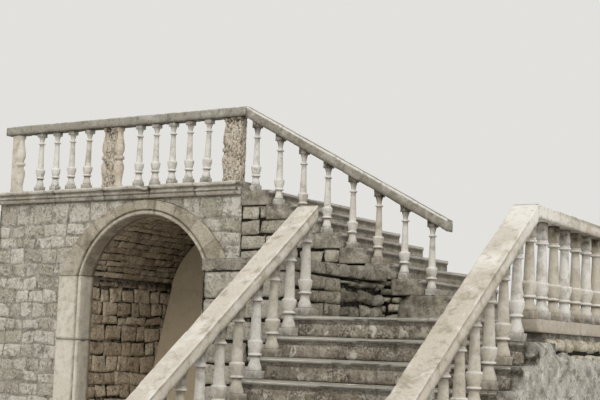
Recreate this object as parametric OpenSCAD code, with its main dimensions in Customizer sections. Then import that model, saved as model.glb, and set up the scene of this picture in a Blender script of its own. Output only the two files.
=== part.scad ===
// Balustraded outside stair of stone: a lower flight up to a landing, an upper
// flight along the terrace front, and a terrace over an arched recess.
// Working frame: X along the terrace front, Y into the building, Z up, in
// millimetres, with the left lower balusters at x = 0 and the terrace
// balusters at y = 0. placed() moves it to the middle of the footprint.

/* [Lower flight] */
// Height of one lower riser
lower_riser = 175; // [160:1:185]
// Going of one lower step
lower_going = 232; // [222:1:280]
// Distance between the two lower baluster lines
flight_width = 2011; // [1700:1:2400]
// How far the step blocks run past the left baluster line
step_past_left = 137; // [110:1:180]
// How far the step blocks run past the right baluster line
step_past_right = 222; // [180:1:260]
// Depth of the landing in front of the upper flight
landing_depth = 1894; // [1700:1:2400]

/* [Upper flight] */
// Height of the first upper step
first_riser = 262; // [230:1:290]
// Height of each further upper riser
upper_riser = 152; // [145:0.5:160]
// Going of one upper step
upper_going = 294; // [280:1:320]

/* [Terrace] */
// Length of the terrace
terrace_length = 3473; // [3400:1:3700]
// Depth from the terrace balusters to the back
terrace_depth = 1600; // [1400:1:1900]
// Thickness of the front wall
wall_thick = 200; // [170:1:240]
// Height of the kerb above the terrace floor
kerb_rise = 108; // [104:1:130]

/* [Arch] */
// Radius of the arch soffit
arch_radius = 897; // [860:1:920]
// Depth of the arch crown below the terrace floor
crown_depth = 211; // [206:1:260]
// Height of the crown above the impost joint
arch_rise = 655; // [610:1:690]
// Distance from the terrace's right end to the arch centre
arch_from_corner = 1267; // [1250:1:1375]
// Width of the dressed jamb stones
jamb_width = 330; // [280:1:350]
// Thickness of the arch ring at the crown
ring_crown = 160; // [140:1:168]
// Gap between two arch stones
stone_joint = 3; // [2:0.5:6]

/* [Balusters] */
// Side of the square baluster foot
foot_side = 125; // [115:1:135]
// Height of the square baluster foot
foot_height = 65; // [55:1:70]
// Largest radius of the belly
belly_radius = 63; // [58:1:66]
// Radius of the shaft above the belly
shaft_low_radius = 47; // [42:1:50]
// Radius of the shaft under the neck ring
shaft_top_radius = 34; // [30:1:37]
// Radius of the neck ring
neck_ring_radius = 53; // [48:1:56]
// Height of the neck ring above the base, on the level run
neck_height = 586; // [570:1:600]
// The same on the lower flight
flight_neck_height = 617; // [600:1:630]
// The same on the terrace and the upper flight
slim_neck_height = 560; // [555:1:572]
// Width of the terrace balusters against the lower ones
slim = 0.88; // [0.8:0.01:0.92]
// How much thinner again their shafts are
slim_shaft = 0.88; // [0.8:0.01:1]
// Distance between balusters in the terrace's right bay
terrace_pitch = 232; // [222:1:240]
// Depth of the piers between the bays
pier_depth = 110; // [100:1:118]
// Largest radius of the half balusters worked on the piers
half_radius = 61; // [58:1:64]
// Distance between balusters on the level run
run_pitch = 232; // [220:1:250]

/* [Rails] */
// Width of the lower handrails
rail_width = 215; // [190:1:235]
// Width of the handrails on the terrace and the upper flight
upper_rail_width = 130; // [118:1:160]
// Thickness of the handrails
rail_thick = 104; // [92:1:116]
// Rail top above the step, at a lower baluster
lower_rail_top = 923; // [900:1:950]
// Rail top above the kerb, on the terrace
terrace_rail_top = 785; // [760:1:800]
// Rail top above the landing, where the run begins
run_rail_top = 860; // [845:1:885]
// How much steeper the upper rail is than its steps, in percent
upper_rail_steeper = 2.5; // [0:0.5:3]
// Fall of the run's rail towards the back, per metre
run_fall = 28; // [0:1:32]

/* [Side block] */
// Height of the side block above the landing
block_rise = 500; // [400:1:560]
// Length of the side block along the front
block_length = 965; // [800:1:1100]
// Thickness of its top course
block_cap = 122; // [100:1:150]

/* [Hidden] */
$fn = 96;
// gap left where a baluster's head meets its rail
seat = 0.3;
// one node is made for each step, so the counts are fixed
lower_risers = 11;
upper_steps = 8;
bearing = 40;

x_right = flight_width;
step_x0 = -step_past_left;
step_x1 = x_right + step_past_right;
landing = lower_risers * lower_riser;
nose_y = -landing_depth;
first_y = nose_y + 150;
lower_slope = lower_riser / lower_going;
lower_drop = rail_thick / cos(atan(lower_slope));
lower_foot_y = nose_y - (lower_risers - 1) * lower_going;
lower_end_y = first_y - (lower_risers - 1) * lower_going - 140;
landing_back_y = nose_y + lower_going + bearing;
core_x0 = step_x0 + 35;
core_x1 = step_x1 - 25;

upper_slope = upper_riser / upper_going;
rail_slope = upper_slope * (1 + upper_rail_steeper / 100);
upper_drop = rail_thick / cos(atan(rail_slope));
floor_z = landing + first_riser + (upper_steps - 1) * upper_riser;
kerb_z = floor_z + kerb_rise;
x_corner = 164 - (upper_steps - 1) * upper_going;
x_end = x_corner - terrace_length;
first_baluster_from_corner = 117;
upper_low_x = x_corner + first_baluster_from_corner + (upper_steps - 1) * upper_going;
// the upper nosings reach in over the feet of the balusters one step down
upper_nose_x = upper_low_x + upper_going - 46;
upper_rail_end = upper_low_x + 177;
// how far the lowest upper step runs in under the second one
first_tail = 258;

face_y = -90;
dressed_y = face_y - 15;
kerb_back = face_y + wall_thick;
back_y = terrace_depth;
floor_slab = 100;
rail_z = kerb_z + terrace_rail_top;
cornice_height = 145;
cornice_z = kerb_z - cornice_height;

arch_x = x_corner - arch_from_corner;
arch_crown = floor_z - crown_depth;
impost_height = arch_crown - arch_rise;
arch_z = arch_crown - arch_radius;
half_span = sqrt(pow(arch_radius, 2) - pow(impost_height - arch_z, 2));
outer_half = half_span + jamb_width;
outer_rise = arch_crown + ring_crown - impost_height;
outer_radius = (pow(outer_half, 2) + pow(outer_rise, 2)) / (2 * outer_rise);
outer_z = impost_height + outer_rise - outer_radius;
voussoirs = 9;
roll = 25;

left_pier_x0 = x_end + 115;
left_pier_x1 = x_end + 205;
corner_pier_x0 = x_corner - 255;
corner_pier_x1 = x_corner - 52;
right_bay_x1 = corner_pier_x0 - 273;
right_bay_count = 5;
// the middle pier and its half balusters stand clear of the bay's first baluster
middle_pier_clear = 293;
middle_pier_length = 177;
middle_pier_x1 = right_bay_x1 - (right_bay_count - 1) * terrace_pitch - middle_pier_clear;
middle_pier_x0 = middle_pier_x1 - middle_pier_length;
left_bay_x0 = left_pier_x1 + 333;
left_bay_x1 = middle_pier_x0 - 287;
left_bay_count = 4;

run_z = landing + run_rail_top;
run_slope = run_fall / 1000;
run_join_y = first_y - (lower_rail_top - run_rail_top) / (lower_slope + run_slope);
coping_x0 = x_right - 130;
coping_x1 = x_right + 132;
coping_thick = 100;
run_count = floor((back_y - 120 - first_y) / run_pitch) + 1;

block_x0 = step_x0 - block_length;
block_y0 = nose_y + 154;
block_z = landing + block_rise;

shift_x = -(x_end + step_x1) / 2;
shift_y = -(back_y + lower_foot_y) / 2;

stone_pale = [0.78, 0.76, 0.70];
stone_warm = [0.72, 0.68, 0.60];
stone_grey = [0.62, 0.61, 0.57];
stone_dark = [0.50, 0.48, 0.43];
plaster = [0.60, 0.56, 0.50];

// a box between two corners
module block(a, b) {
    translate(a)
        cube([b[0] - a[0], b[1] - a[1], b[2] - a[2]]);
}

// moves the working frame to the centred one
module placed() {
    translate([shift_x, shift_y, 0])
        children();
}

// a profile drawn as [y, z] and extruded along X
module along_x(x0, x1) {
    translate([x0, 0, 0])
        rotate([90, 0, 90])
            linear_extrude(height = x1 - x0)
                children();
}

// a profile drawn as [x, z] and extruded along Y
module along_y(y0, y1) {
    translate([0, y1, 0])
        rotate([90, 0, 0])
            linear_extrude(height = y1 - y0)
                children();
}

// points of an arc
function arc(cx, cy, r, a0, a1, n) = [
    for (i = [0:n])
        let (a = a0 + (a1 - a0) * i / n)
            [cx + r * cos(a), cy + r * sin(a)]
];

// side view of a step: front at 0, worn rounded nosing over a set-back riser
module step_profile(depth, rise) {
    nose = 9;
    polygon(concat(
        [[12, 0], [depth, 0], [depth, rise], [2 * nose, rise]],
        [for (p = arc(2 * nose, rise - 2 * nose, 2 * nose, 90, 180, 5)) p],
        [[0, rise - 38], [12, rise - 50]]
    ));
}

// lower step number n, counted from the ground; the last one ends at the coping
module lower_step(n) {
    color(stone_grey)
        placed()
            along_x(step_x0, n == lower_risers ? coping_x0 : step_x1)
                translate([nose_y - (lower_risers - n) * lower_going, (n - 1) * lower_riser])
                    step_profile(lower_going + bearing, lower_riser);
}

module lower_step_1() lower_step(1);
module lower_step_2() lower_step(2);
module lower_step_3() lower_step(3);
module lower_step_4() lower_step(4);
module lower_step_5() lower_step(5);
module lower_step_6() lower_step(6);
module lower_step_7() lower_step(7);
module lower_step_8() lower_step(8);
module lower_step_9() lower_step(9);
module lower_step_10() lower_step(10);
module landing_step() lower_step(lower_risers);

// masonry under the lower steps, in steps itself
module lower_core() {
    color(stone_dark)
        placed()
            along_x(core_x0, core_x1)
                polygon(concat(
                    [for (n = [1:lower_risers - 1], up = [0, 1])
                        [nose_y - (lower_risers - n - 1) * lower_going + bearing, (n - 1 + up) * lower_riser]],
                    [[landing_back_y, (lower_risers - 1) * lower_riser], [landing_back_y, 0]]
                ));
}

module landing_core() {
    color(stone_dark)
        placed()
            block([step_x0, landing_back_y, 0], [coping_x0, back_y, landing - coping_thick]);
}

// wall under the coping: flush with the step ends, drawn in at the top
module landing_wall() {
    color(stone_warm)
        placed()
            union() {
                along_y(landing_back_y, back_y)
                    polygon([
                        [coping_x0, 0],
                        [core_x1, 0],
                        [core_x1, landing - coping_thick - 190],
                        [coping_x1 - 14, landing - coping_thick],
                        [coping_x0, landing - coping_thick]
                    ]);
                block([coping_x0, nose_y + 20, landing - lower_riser],
                      [coping_x1 - 14, landing_back_y + 1, landing - coping_thick]);
            }
}

module landing_slab() {
    color(stone_grey)
        placed()
            block([step_x0, landing_back_y, landing - coping_thick], [coping_x0, back_y, landing]);
}

// smooth coping that carries the level run
module run_coping() {
    color(stone_pale)
        placed()
            along_y(nose_y, back_y)
                translate([0, landing - coping_thick])
                    polygon([
                        [coping_x0, 0],
                        [coping_x1 - 10, 0],
                        [coping_x1, 10],
                        [coping_x1, coping_thick - 12],
                        [coping_x1 - 12, coping_thick],
                        [coping_x0, coping_thick]
                    ]);
}

module side_block() {
    color(stone_grey)
        placed()
            block([block_x0, block_y0, 0], [step_x0, face_y, block_z - block_cap]);
}

module side_block_cap() {
    color(stone_grey)
        placed()
            block([block_x0 - 6, block_y0 - 6, block_z - block_cap], [step_x0, face_y, block_z]);
}

// front edge and top of upper step k, counted from the landing
function upper_nose(k) = upper_nose_x - (k - 1) * upper_going;
function upper_top(k) = landing + first_riser + (k - 1) * upper_riser;

function upper_inner(k) = upper_nose(k) - upper_going - (k == 1 ? first_tail : bearing);

module upper_step(k) {
    low = k == 1 ? landing : upper_top(k - 1);
    inner = k == upper_steps ? x_corner : upper_inner(k);
    color(stone_grey)
        placed()
            along_y(face_y - 12, back_y)
                translate([upper_nose(k), low])
                    mirror([1, 0])
                        step_profile(upper_nose(k) - inner, upper_top(k) - low);
}

module upper_step_1() upper_step(1);
module upper_step_2() upper_step(2);
module upper_step_3() upper_step(3);
module upper_step_4() upper_step(4);
module upper_step_5() upper_step(5);
module upper_step_6() upper_step(6);
module upper_step_7() upper_step(7);
module upper_step_8() upper_step(8);

// stepped wall that carries the upper flight, down to the ground
module upper_flight_wall() {
    color(stone_dark)
        placed()
            along_y(face_y, back_y)
                polygon(concat(
                    [[x_corner, 0], [step_x0, 0], [step_x0, landing], [upper_inner(1), landing]],
                    [for (k = [1:upper_steps - 2], far = [0, 1])
                        [upper_inner(k + far), upper_top(k)]],
                    [[upper_inner(upper_steps - 1), upper_top(upper_steps - 1)],
                     [x_corner, upper_top(upper_steps - 1)]]
                ));
}

// front wall beside the jambs, up to the impost
module terrace_wall() {
    color(stone_grey)
        placed() {
            block([x_end, face_y, 0], [arch_x - outer_half, kerb_back, impost_height]);
            block([arch_x + outer_half, face_y, 0], [x_corner, kerb_back, impost_height]);
        }
}

// front wall above the impost, cut to the back of the arch ring
module terrace_spandrel() {
    color(stone_grey)
        placed()
            difference() {
                block([x_end, face_y, impost_height], [x_corner, kerb_back, cornice_z]);
                translate([arch_x, kerb_back + 10, outer_z])
                    rotate([90, 0, 0])
                        cylinder(r = outer_radius, h = wall_thick + 20, $fn = 180);
            }
}

// plan of a jamb with a roll on its inner front edge, inner face at x = 0
module jamb_plan() {
    polygon(concat(
        [[-jamb_width, kerb_back], [-jamb_width, dressed_y], [-2 * roll - 6, dressed_y],
         [-2 * roll - 6, dressed_y + 12], [-2 * roll, dressed_y + 12]],
        arc(-roll, dressed_y + roll, roll, 180, 360, 12),
        [[0, kerb_back]]
    ));
}

module arch_jambs() {
    color(stone_pale)
        placed() {
            translate([arch_x - half_span, 0, 0])
                linear_extrude(height = impost_height)
                    jamb_plan();
            translate([arch_x + half_span, 0, 0])
                mirror([1, 0, 0])
                    linear_extrude(height = impost_height)
                        jamb_plan();
        }
}

// ring section as [radius, forward], with the same roll round the soffit edge
module ring_section() {
    front = -dressed_y;
    r = arch_radius;
    polygon(concat(
        [[r, -kerb_back]],
        [[r + 700, -kerb_back], [r + 700, front], [r + 2 * roll + 6, front],
         [r + 2 * roll + 6, front - 12], [r + 2 * roll, front - 12]],
        [for (p = arc(r + roll, front - roll, roll, 0, 180, 12)) p]
    ));
}

// the arch ring: wedge stones round the soffit, thicker towards the impost,
// the lowest two with a flat bed on it
module arch_ring() {
    spring = atan2(impost_height - arch_z, half_span);
    sweep = (180 - 2 * spring) / voussoirs;
    half_joint = stone_joint / 2;
    color(stone_pale)
        placed()
            translate([arch_x, 0, arch_z])
                for (i = [0:voussoirs - 1])
                    intersection() {
                        rotate([90, 0, 0])
                            rotate_extrude($fn = 180)
                                ring_section();
                        translate([0, 0, outer_z - arch_z])
                            rotate([90, 0, 0])
                                cylinder(r = outer_radius - 0.3, h = 600, center = true, $fn = 180);
                        along_y(-400, 400)
                            wedge(i == 0 ? 0 : spring + i * sweep,
                                  i == voussoirs - 1 ? 180 : spring + (i + 1) * sweep, half_joint);
                        block([-2000, -400, impost_height - arch_z], [2000, 400, 2000]);
                    }
}

// flat wedge between two angles, held back from both joints
module wedge(a0, a1, gap) {
    far = 2200;
    near = gap / sin((a1 - a0) / 2);
    middle = (a0 + a1) / 2;
    polygon([
        [near * cos(middle), near * sin(middle)],
        [near * cos(middle) + far * cos(a0), near * sin(middle) + far * sin(a0)],
        [near * cos(middle) + far * cos(a1), near * sin(middle) + far * sin(a1)]
    ]);
}

module passage_walls() {
    color(stone_dark)
        placed() {
            block([x_end, kerb_back, 0], [arch_x - half_span, back_y, impost_height]);
            block([arch_x + half_span, kerb_back, 0], [x_corner, back_y, impost_height]);
        }
}

module passage_vault() {
    color(stone_dark)
        placed()
            difference() {
                block([x_end, kerb_back, impost_height], [x_corner, back_y, floor_z - floor_slab]);
                translate([arch_x, back_y + 10, arch_z])
                    rotate([90, 0, 0])
                        cylinder(r = arch_radius, h = back_y - kerb_back + 20, $fn = 180);
            }
}

// plastered end of the recess: its face leans back as it rises
module passage_back() {
    foot = back_y - 790;
    head = back_y - 90;
    gap = 0.3;
    color(plaster)
        placed()
            intersection() {
                along_x(arch_x - half_span + gap, arch_x + half_span - gap)
                    polygon([[foot, 0], [back_y, 0], [back_y, 4000], [head, 4000], [head, impost_height - 60]]);
                union() {
                    block([arch_x - 2000, 0, -1], [arch_x + 2000, back_y + 1, impost_height]);
                    translate([arch_x, back_y + 1, arch_z])
                        rotate([90, 0, 0])
                            cylinder(r = arch_radius - gap, h = back_y, $fn = 180);
                }
            }
}

module terrace_floor() {
    color(stone_grey)
        placed()
            block([x_end, kerb_back, floor_z - floor_slab], [x_corner, back_y, floor_z]);
}

// kerb with three mouldings, each standing out over the one below
module terrace_cornice() {
    out = face_y - 75;
    mid = face_y - 50;
    low = face_y - 25;
    color(stone_pale)
        placed()
            along_x(x_end, x_corner)
                translate([0, cornice_z])
                    polygon(concat(
                        [[kerb_back, 0], [low, 0]],
                        arc(low + 4, 30, 18, 200, 110, 5),
                        [[mid + 10, 46], [mid, 50]],
                        [[mid, 78], [mid + 9, 88], [mid + 9, 96]],
                        [[out + 6, 100]],
                        arc(out + 10, 112, 10, 200, 180, 2),
                        arc(out + 12, cornice_height - 12, 12, 180, 90, 4),
                        [[kerb_back, cornice_height]]
                    ));
}

// heights of the lower ring, the top of the belly and the neck ring
run_turning = [neck_height - 418, neck_height - 303, neck_height];
flight_turning = [flight_neck_height - 428, flight_neck_height - 318, flight_neck_height];
slim_turning = [slim_neck_height - 400, slim_neck_height - 300, slim_neck_height];

// above the neck ring the lower balusters draw in under a square head
function drawn_in(z) = concat(
    [for (i = [0:5]) [neck_ring_radius - 5 - 13 * sin(18 * i), z + 8 + 30 * i / 5]],
    [[0, z + 38]]
);

// and the slim ones open out in a bell to a wide cap that starts at z1
function opened_out(w, z0, z1) = concat(
    [for (i = [0:6])
        [w * (27 + 19 * (1 - cos(15 * i))), z0 + 9 + (z1 - z0 - 9) * i / 6]],
    [[0, z1]]
);

// turned outline of a baluster as [radius, height], from foot to cap_z; w scales
// it and s makes the shaft thinner
function turned(w, s, turning, cap_z) =
    let (
        ring_z = turning[0],
        belly_z = turning[1],
        neck_z = turning[2],
        low = foot_side / 2 - (w < 1 ? 8 : 2)
    )
    concat(
        [[0, foot_height - 4], [low * w, foot_height - 4], [low * w, foot_height + 6]],
        [for (i = [1:6])
            [w * (low - (low - 40) * (1 - cos(30 * i)) / 2), foot_height + 6 + (ring_z - foot_height - 40) * i / 6]],
        [[w * 39, ring_z - 14]],
        [for (p = arc(44, ring_z, 12, -90, 90, 8)) [w * p[0], p[1]]],
        [[w * 41, ring_z + 14]],
        [for (i = [0:6])
            [w * (44 + (belly_radius - 44) * sin(15 * i)), ring_z + 17 + (belly_z - ring_z - 30) * i / 6]],
        [[w * belly_radius, belly_z - 6], [w * (belly_radius - 3), belly_z]],
        [[w * s * (shaft_low_radius + 3), belly_z + 5], [w * s * shaft_low_radius, belly_z + 12]],
        [[w * s * shaft_top_radius, neck_z - 18], [w * s * (shaft_top_radius + 1), neck_z - 12]],
        [[w * s * (neck_ring_radius - 4), neck_z - 7]],
        [for (p = arc(neck_ring_radius - 6, neck_z, 6, -60, 60, 4)) [w * s * p[0], p[1]]],
        w < 1 ? opened_out(w, neck_z, cap_z) : drawn_in(neck_z)
    );

// one baluster; rise_x and rise_y are the slopes that its head is cut to
module baluster(height, w, s, turning, rise_x, rise_y) {
    foot = foot_side * w / 2 - (w < 1 ? 5 : 0);
    head = (w < 1 ? 48 : shaft_top_radius + 3) * w;
    cap_z = turning[2] + (height - turning[2]) * 0.68;
    neck = w < 1 ? cap_z - 4 : turning[2] + 30;
    top = height - seat;
    union() {
        block([-foot, -foot, 0], [foot, foot, foot_height]);
        rotate_extrude($fn = 48)
            polygon(turned(w, s, turning, cap_z));
        if (rise_y != 0)
            along_x(-head, head)
                polygon([[-head, neck], [head, neck], [head, top + head * rise_y], [-head, top - head * rise_y]]);
        else
            along_y(-head, head)
                polygon([[-head, neck], [head, neck], [head, top + head * rise_x], [-head, top - head * rise_x]]);
    }
}

module terrace_baluster_row(x0, pitch, count) {
    for (i = [0:count - 1])
        translate([x0 + i * pitch, 0, kerb_z])
            baluster(terrace_rail_top - rail_thick, slim, slim_shaft, slim_turning, 0, 0);
}

module terrace_balusters_left() {
    color(stone_pale)
        placed()
            terrace_baluster_row(left_bay_x0, (left_bay_x1 - left_bay_x0) / (left_bay_count - 1), left_bay_count);
}

module terrace_balusters_right() {
    color(stone_pale)
        placed()
            terrace_baluster_row(right_bay_x1 - (right_bay_count - 1) * terrace_pitch, terrace_pitch, right_bay_count);
}

// clear height between upper step k and the rail over its baluster
function upper_clear(k) =
    let (x = upper_low_x - (k - 1) * upper_going)
    rail_z - (x - x_corner) * rail_slope - upper_drop - upper_top(k);

module upper_balusters() {
    color(stone_pale)
        placed()
            for (k = [1:upper_steps])
                translate([upper_low_x - (k - 1) * upper_going, 0, upper_top(k)])
                    baluster(upper_clear(k), slim, slim_shaft, slim_turning, -rail_slope, 0);
}

module lower_baluster_row(x, first, last) {
    for (i = [first:last])
        translate([x, first_y - i * lower_going, landing - i * lower_riser])
            baluster(lower_rail_top - lower_drop, 1, 1, flight_turning, 0, lower_slope);
}

module lower_balusters_left() {
    color(stone_pale)
        placed()
            lower_baluster_row(0, 0, lower_risers - 1);
}

module lower_balusters_right() {
    color(stone_pale)
        placed()
            lower_baluster_row(x_right, 1, lower_risers - 1);
}

module run_balusters() {
    color(stone_pale)
        placed()
            for (i = [0:run_count - 1])
                translate([x_right, first_y + i * run_pitch, landing])
                    baluster(run_rail_top - rail_thick - i * run_pitch * run_slope, 1, 1, run_turning, 0, -run_slope);
}

// smooth swelling between two radii
function swell(r0, z0, r1, z1, n) = [
    for (i = [0:n])
        [r0 + (r1 - r0) * (1 - cos(180 * i / n)) / 2, z0 + (z1 - z0) * i / n]
];

// outline of the half balusters on the piers: two bellies about a ring
function half_turned(r, h) = concat(
    [[0, 0], [r * 0.86, 0], [r * 0.86, h * 0.055], [r * 0.74, h * 0.065]],
    swell(r * 0.68, h * 0.09, r, h * 0.34, 6),
    swell(r * 0.98, h * 0.37, r * 0.68, h * 0.45, 4),
    [[r * 0.68, h * 0.465]],
    [[r * 0.94, h * 0.474], [r, h * 0.49], [r, h * 0.51], [r * 0.94, h * 0.526]],
    [[r * 0.68, h * 0.535]],
    swell(r * 0.68, h * 0.55, r * 0.96, h * 0.63, 4),
    swell(r * 0.95, h * 0.66, r * 0.58, h * 0.92, 6),
    [[r * 0.84, h * 0.955], [r * 0.84, h], [0, h]]
);

module half_baluster(x, height) {
    translate([x, 0, 0])
        rotate_extrude($fn = 48)
            polygon(half_turned(half_radius, height));
}

// a pier with half balusters worked on one or both ends, at each x of halves
module pier(x0, x1, halves) {
    height = terrace_rail_top - rail_thick - seat;
    color(stone_warm)
        placed()
            translate([0, 0, kerb_z])
                union() {
                    union() {
                        block([x0, -pier_depth / 2, 0], [x1, pier_depth / 2, height]);
                        half_baluster(halves[0], height);
                    }
                    if (len(halves) > 1)
                        half_baluster(halves[1], height);
                }
}

module pier_left() pier(left_pier_x0, left_pier_x1, [left_pier_x1]);
module pier_middle() pier(middle_pier_x0, middle_pier_x1, [middle_pier_x0, middle_pier_x1]);
module pier_corner() pier(corner_pier_x0, corner_pier_x1, [corner_pier_x0]);

// rail section, top at 0, with softened upper edges
module rail_section(width) {
    half = width / 2;
    soft = 12;
    polygon(concat(
        [[-half, -rail_thick], [half, -rail_thick]],
        arc(half - soft, -soft, soft, 0, 90, 4),
        arc(-half + soft, -soft, soft, 90, 180, 4)
    ));
}

module terrace_rail() {
    color(stone_warm)
        placed()
            translate([0, 0, rail_z])
                along_x(x_end + 12, x_corner)
                    rail_section(upper_rail_width);
}

// rail of the run, falling slightly towards the back
module run_rail() {
    color(stone_warm)
        placed()
            intersection() {
                translate([x_right, first_y, run_z])
                    rotate([-atan(run_slope), 0, 0])
                        along_y(-600, back_y - first_y + 300)
                            rail_section(rail_width);
                block([x_right - 400, run_join_y, 0], [x_right + 400, back_y, 6000]);
            }
}

// rail down the upper flight, with plumb ends
module upper_rail() {
    reach = (upper_rail_end - x_corner) / cos(atan(rail_slope)) + 400;
    color(stone_warm)
        placed()
            intersection() {
                translate([x_corner, 0, rail_z])
                    rotate([0, atan(rail_slope), 0])
                        along_x(-200, reach)
                            rail_section(upper_rail_width);
                block([x_corner, -400, 0], [upper_rail_end, 400, 6000]);
            }
}

// rail down the lower flight at x, from y0 to its foot, with plumb ends
module lower_rail(x, y0) {
    reach = (y0 - lower_end_y) / cos(atan(lower_slope)) + 600;
    color(stone_warm)
        placed()
            intersection() {
                translate([x, first_y, landing + lower_rail_top])
                    rotate([atan(lower_slope), 0, 0])
                        along_y(-reach, 300)
                            rail_section(rail_width);
                block([x - 400, lower_end_y, 0], [x + 400, y0, 6000]);
            }
}

module lower_rail_left() lower_rail(0, first_y + 5);
module lower_rail_right() lower_rail(x_right, run_join_y);

lower_step_1();
lower_step_2();
lower_step_3();
lower_step_4();
lower_step_5();
lower_step_6();
lower_step_7();
lower_step_8();
lower_step_9();
lower_step_10();
landing_step();
landing_slab();
landing_core();
landing_wall();
run_coping();
lower_core();
side_block();
side_block_cap();
upper_step_1();
upper_step_2();
upper_step_3();
upper_step_4();
upper_step_5();
upper_step_6();
upper_step_7();
upper_step_8();
upper_flight_wall();
terrace_wall();
terrace_spandrel();
arch_jambs();
arch_ring();
passage_walls();
passage_vault();
passage_back();
terrace_floor();
terrace_cornice();
pier_left();
pier_middle();
pier_corner();
terrace_balusters_left();
terrace_balusters_right();
upper_balusters();
lower_balusters_left();
lower_balusters_right();
run_balusters();
terrace_rail();
upper_rail();
lower_rail_left();
lower_rail_right();
run_rail();
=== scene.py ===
# Looks for the balustraded stone stair. Sizes repeat those of the part's source, in millimetres, in its
# working frame: X along the terrace front, Y into the building, Z up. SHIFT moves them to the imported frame.
import math
from itertools import pairwise, product

import bpy
import numpy as np
from mathutils import Matrix, Vector


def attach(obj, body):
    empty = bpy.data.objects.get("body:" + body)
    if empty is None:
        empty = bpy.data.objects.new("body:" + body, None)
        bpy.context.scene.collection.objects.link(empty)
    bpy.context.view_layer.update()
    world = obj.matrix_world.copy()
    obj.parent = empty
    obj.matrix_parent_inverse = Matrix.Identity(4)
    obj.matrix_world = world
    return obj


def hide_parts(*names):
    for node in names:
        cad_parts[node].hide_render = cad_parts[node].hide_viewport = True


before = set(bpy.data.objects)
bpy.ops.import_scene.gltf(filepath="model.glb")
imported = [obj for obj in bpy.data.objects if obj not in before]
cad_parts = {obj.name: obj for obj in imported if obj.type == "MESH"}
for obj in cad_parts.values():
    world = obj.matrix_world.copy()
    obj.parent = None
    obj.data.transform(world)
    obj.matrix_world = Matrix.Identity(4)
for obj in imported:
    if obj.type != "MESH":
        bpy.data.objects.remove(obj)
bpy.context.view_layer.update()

# ---------------- sizes
RISER, GOING, LOWER_STEPS = 175.0, 232.0, 11
UPPER_RISER, UPPER_GOING, FIRST_RISER, UPPER_STEPS = 152.0, 294.0, 262.0, 8
FIRST_TAIL, BEARING = 258.0, 40.0
X_RIGHT = 2011.0
STEP_X0, STEP_X1, STEP_END = -137.0, 2233.0, 2171.0
LANDING = 1925.0
NOSE_Y, FIRST_Y = -1894.0, -1744.0
LANDING_BACK = -1622.0
CORE_X0, CORE_X1 = -102.0, 2208.0
BACK_Y, FACE_Y, DRESSED_Y, KERB_BACK = 1600.0, -90.0, -105.0, 110.0
FLOOR_Z, KERB_Z, RAIL_Z, CORNICE_Z = 3251.0, 3359.0, 4144.0, 3214.0
X_CORNER, X_END = -1894.0, -5367.0
UPPER_NOSE_X, UPPER_LOW_X, UPPER_RAIL_END = 529.0, 281.0, 458.0
ARCH_X, ARCH_Z, ARCH_R, IMPOST = -3161.0, 2143.0, 897.0, 2385.0
JAMB, RING_CROWN, ROLL_END = 330.0, 160.0, 57.0
HALF_SPAN = math.sqrt(ARCH_R ** 2 - (IMPOST - ARCH_Z) ** 2)
OUTER_HALF = HALF_SPAN + JAMB
OUTER_RISE = ARCH_Z + ARCH_R + RING_CROWN - IMPOST
OUTER_R = (OUTER_HALF ** 2 + OUTER_RISE ** 2) / (2 * OUTER_RISE)
OUTER_Z = IMPOST + OUTER_RISE - OUTER_R
SPRING = math.atan2(IMPOST - ARCH_Z, HALF_SPAN)
COPING_X0, COPING_X1 = 1881.0, 2143.0
BLOCK_X0, BLOCK_Y0, BLOCK_Z = -1102.0, -1740.0, 2425.0
SLAB, CAP, PITCH = 100.0, 122.0, 232.0
RAIL_THICK, LOWER_TOP, RUN_TOP, TERRACE_TOP = 104.0, 923.0, 860.0, 785.0
LOWER_SLOPE, RAIL_SLOPE, RUN_SLOPE = RISER / GOING, UPPER_RISER / UPPER_GOING * 1.025, 0.028
RUN_JOIN = FIRST_Y - (LOWER_TOP - RUN_TOP) / (LOWER_SLOPE + RUN_SLOPE)
LOWER_END = FIRST_Y - 10 * GOING - 140
SHIFT = np.array([-(X_END + STEP_X1) / 2, 1307.0, 0.0])


def nose_y(n):
    """Front of the lower flight's step n."""
    return NOSE_Y - (LOWER_STEPS - n) * GOING


def upper_top(k):
    """Top of the upper flight's step k, or of the landing for none."""
    return LANDING + FIRST_RISER + (k - 1) * UPPER_RISER if k else LANDING


# ---------------- noise
def lattice(i, j, k, seed):
    """A fixed random value from -1 to 1 for each whole place."""
    h = (i * 73856093) ^ (j * 19349663) ^ (k * 83492791) ^ (seed * 26544357)
    h = (h ^ (h >> 13)) * 1274126177
    h = h ^ (h >> 16)
    return (h & 0xFFFF) / 32767.5 - 1


def noise(p, size, seed=0):
    """Smooth noise from -1 to 1 with features of that size."""
    q = np.asarray(p, float) / size + 1000
    i = np.floor(q).astype(np.int64)
    f = q - i
    f = f * f * (3 - 2 * f)
    near = [(1 - f[..., axis], f[..., axis]) for axis in range(3)]
    total = 0
    for a, b, c in product((0, 1), repeat=3):
        corner = lattice(i[..., 0] + a, i[..., 1] + b, i[..., 2] + c, seed)
        total = total + near[0][a] * near[1][b] * near[2][c] * corner
    return total


def fbm(p, size, seed=0, octaves=3):
    total, weight = 0, 0
    for o in range(octaves):
        total = total + noise(p, size / 2 ** o, seed + 17 * o) / 1.8 ** o
        weight += 1 / 1.8 ** o
    return 1.5 * total / weight


def unit(x):
    return np.clip(x, 0, 1)


def swell(p, size, seed):
    """Noise about one half."""
    return 0.5 + 0.5 * fbm(p, size, seed)


def peak(x, at, width):
    return np.exp(-((x - at) / width) ** 2)


def highest(*masks):
    return np.maximum.reduce(masks)


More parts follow.
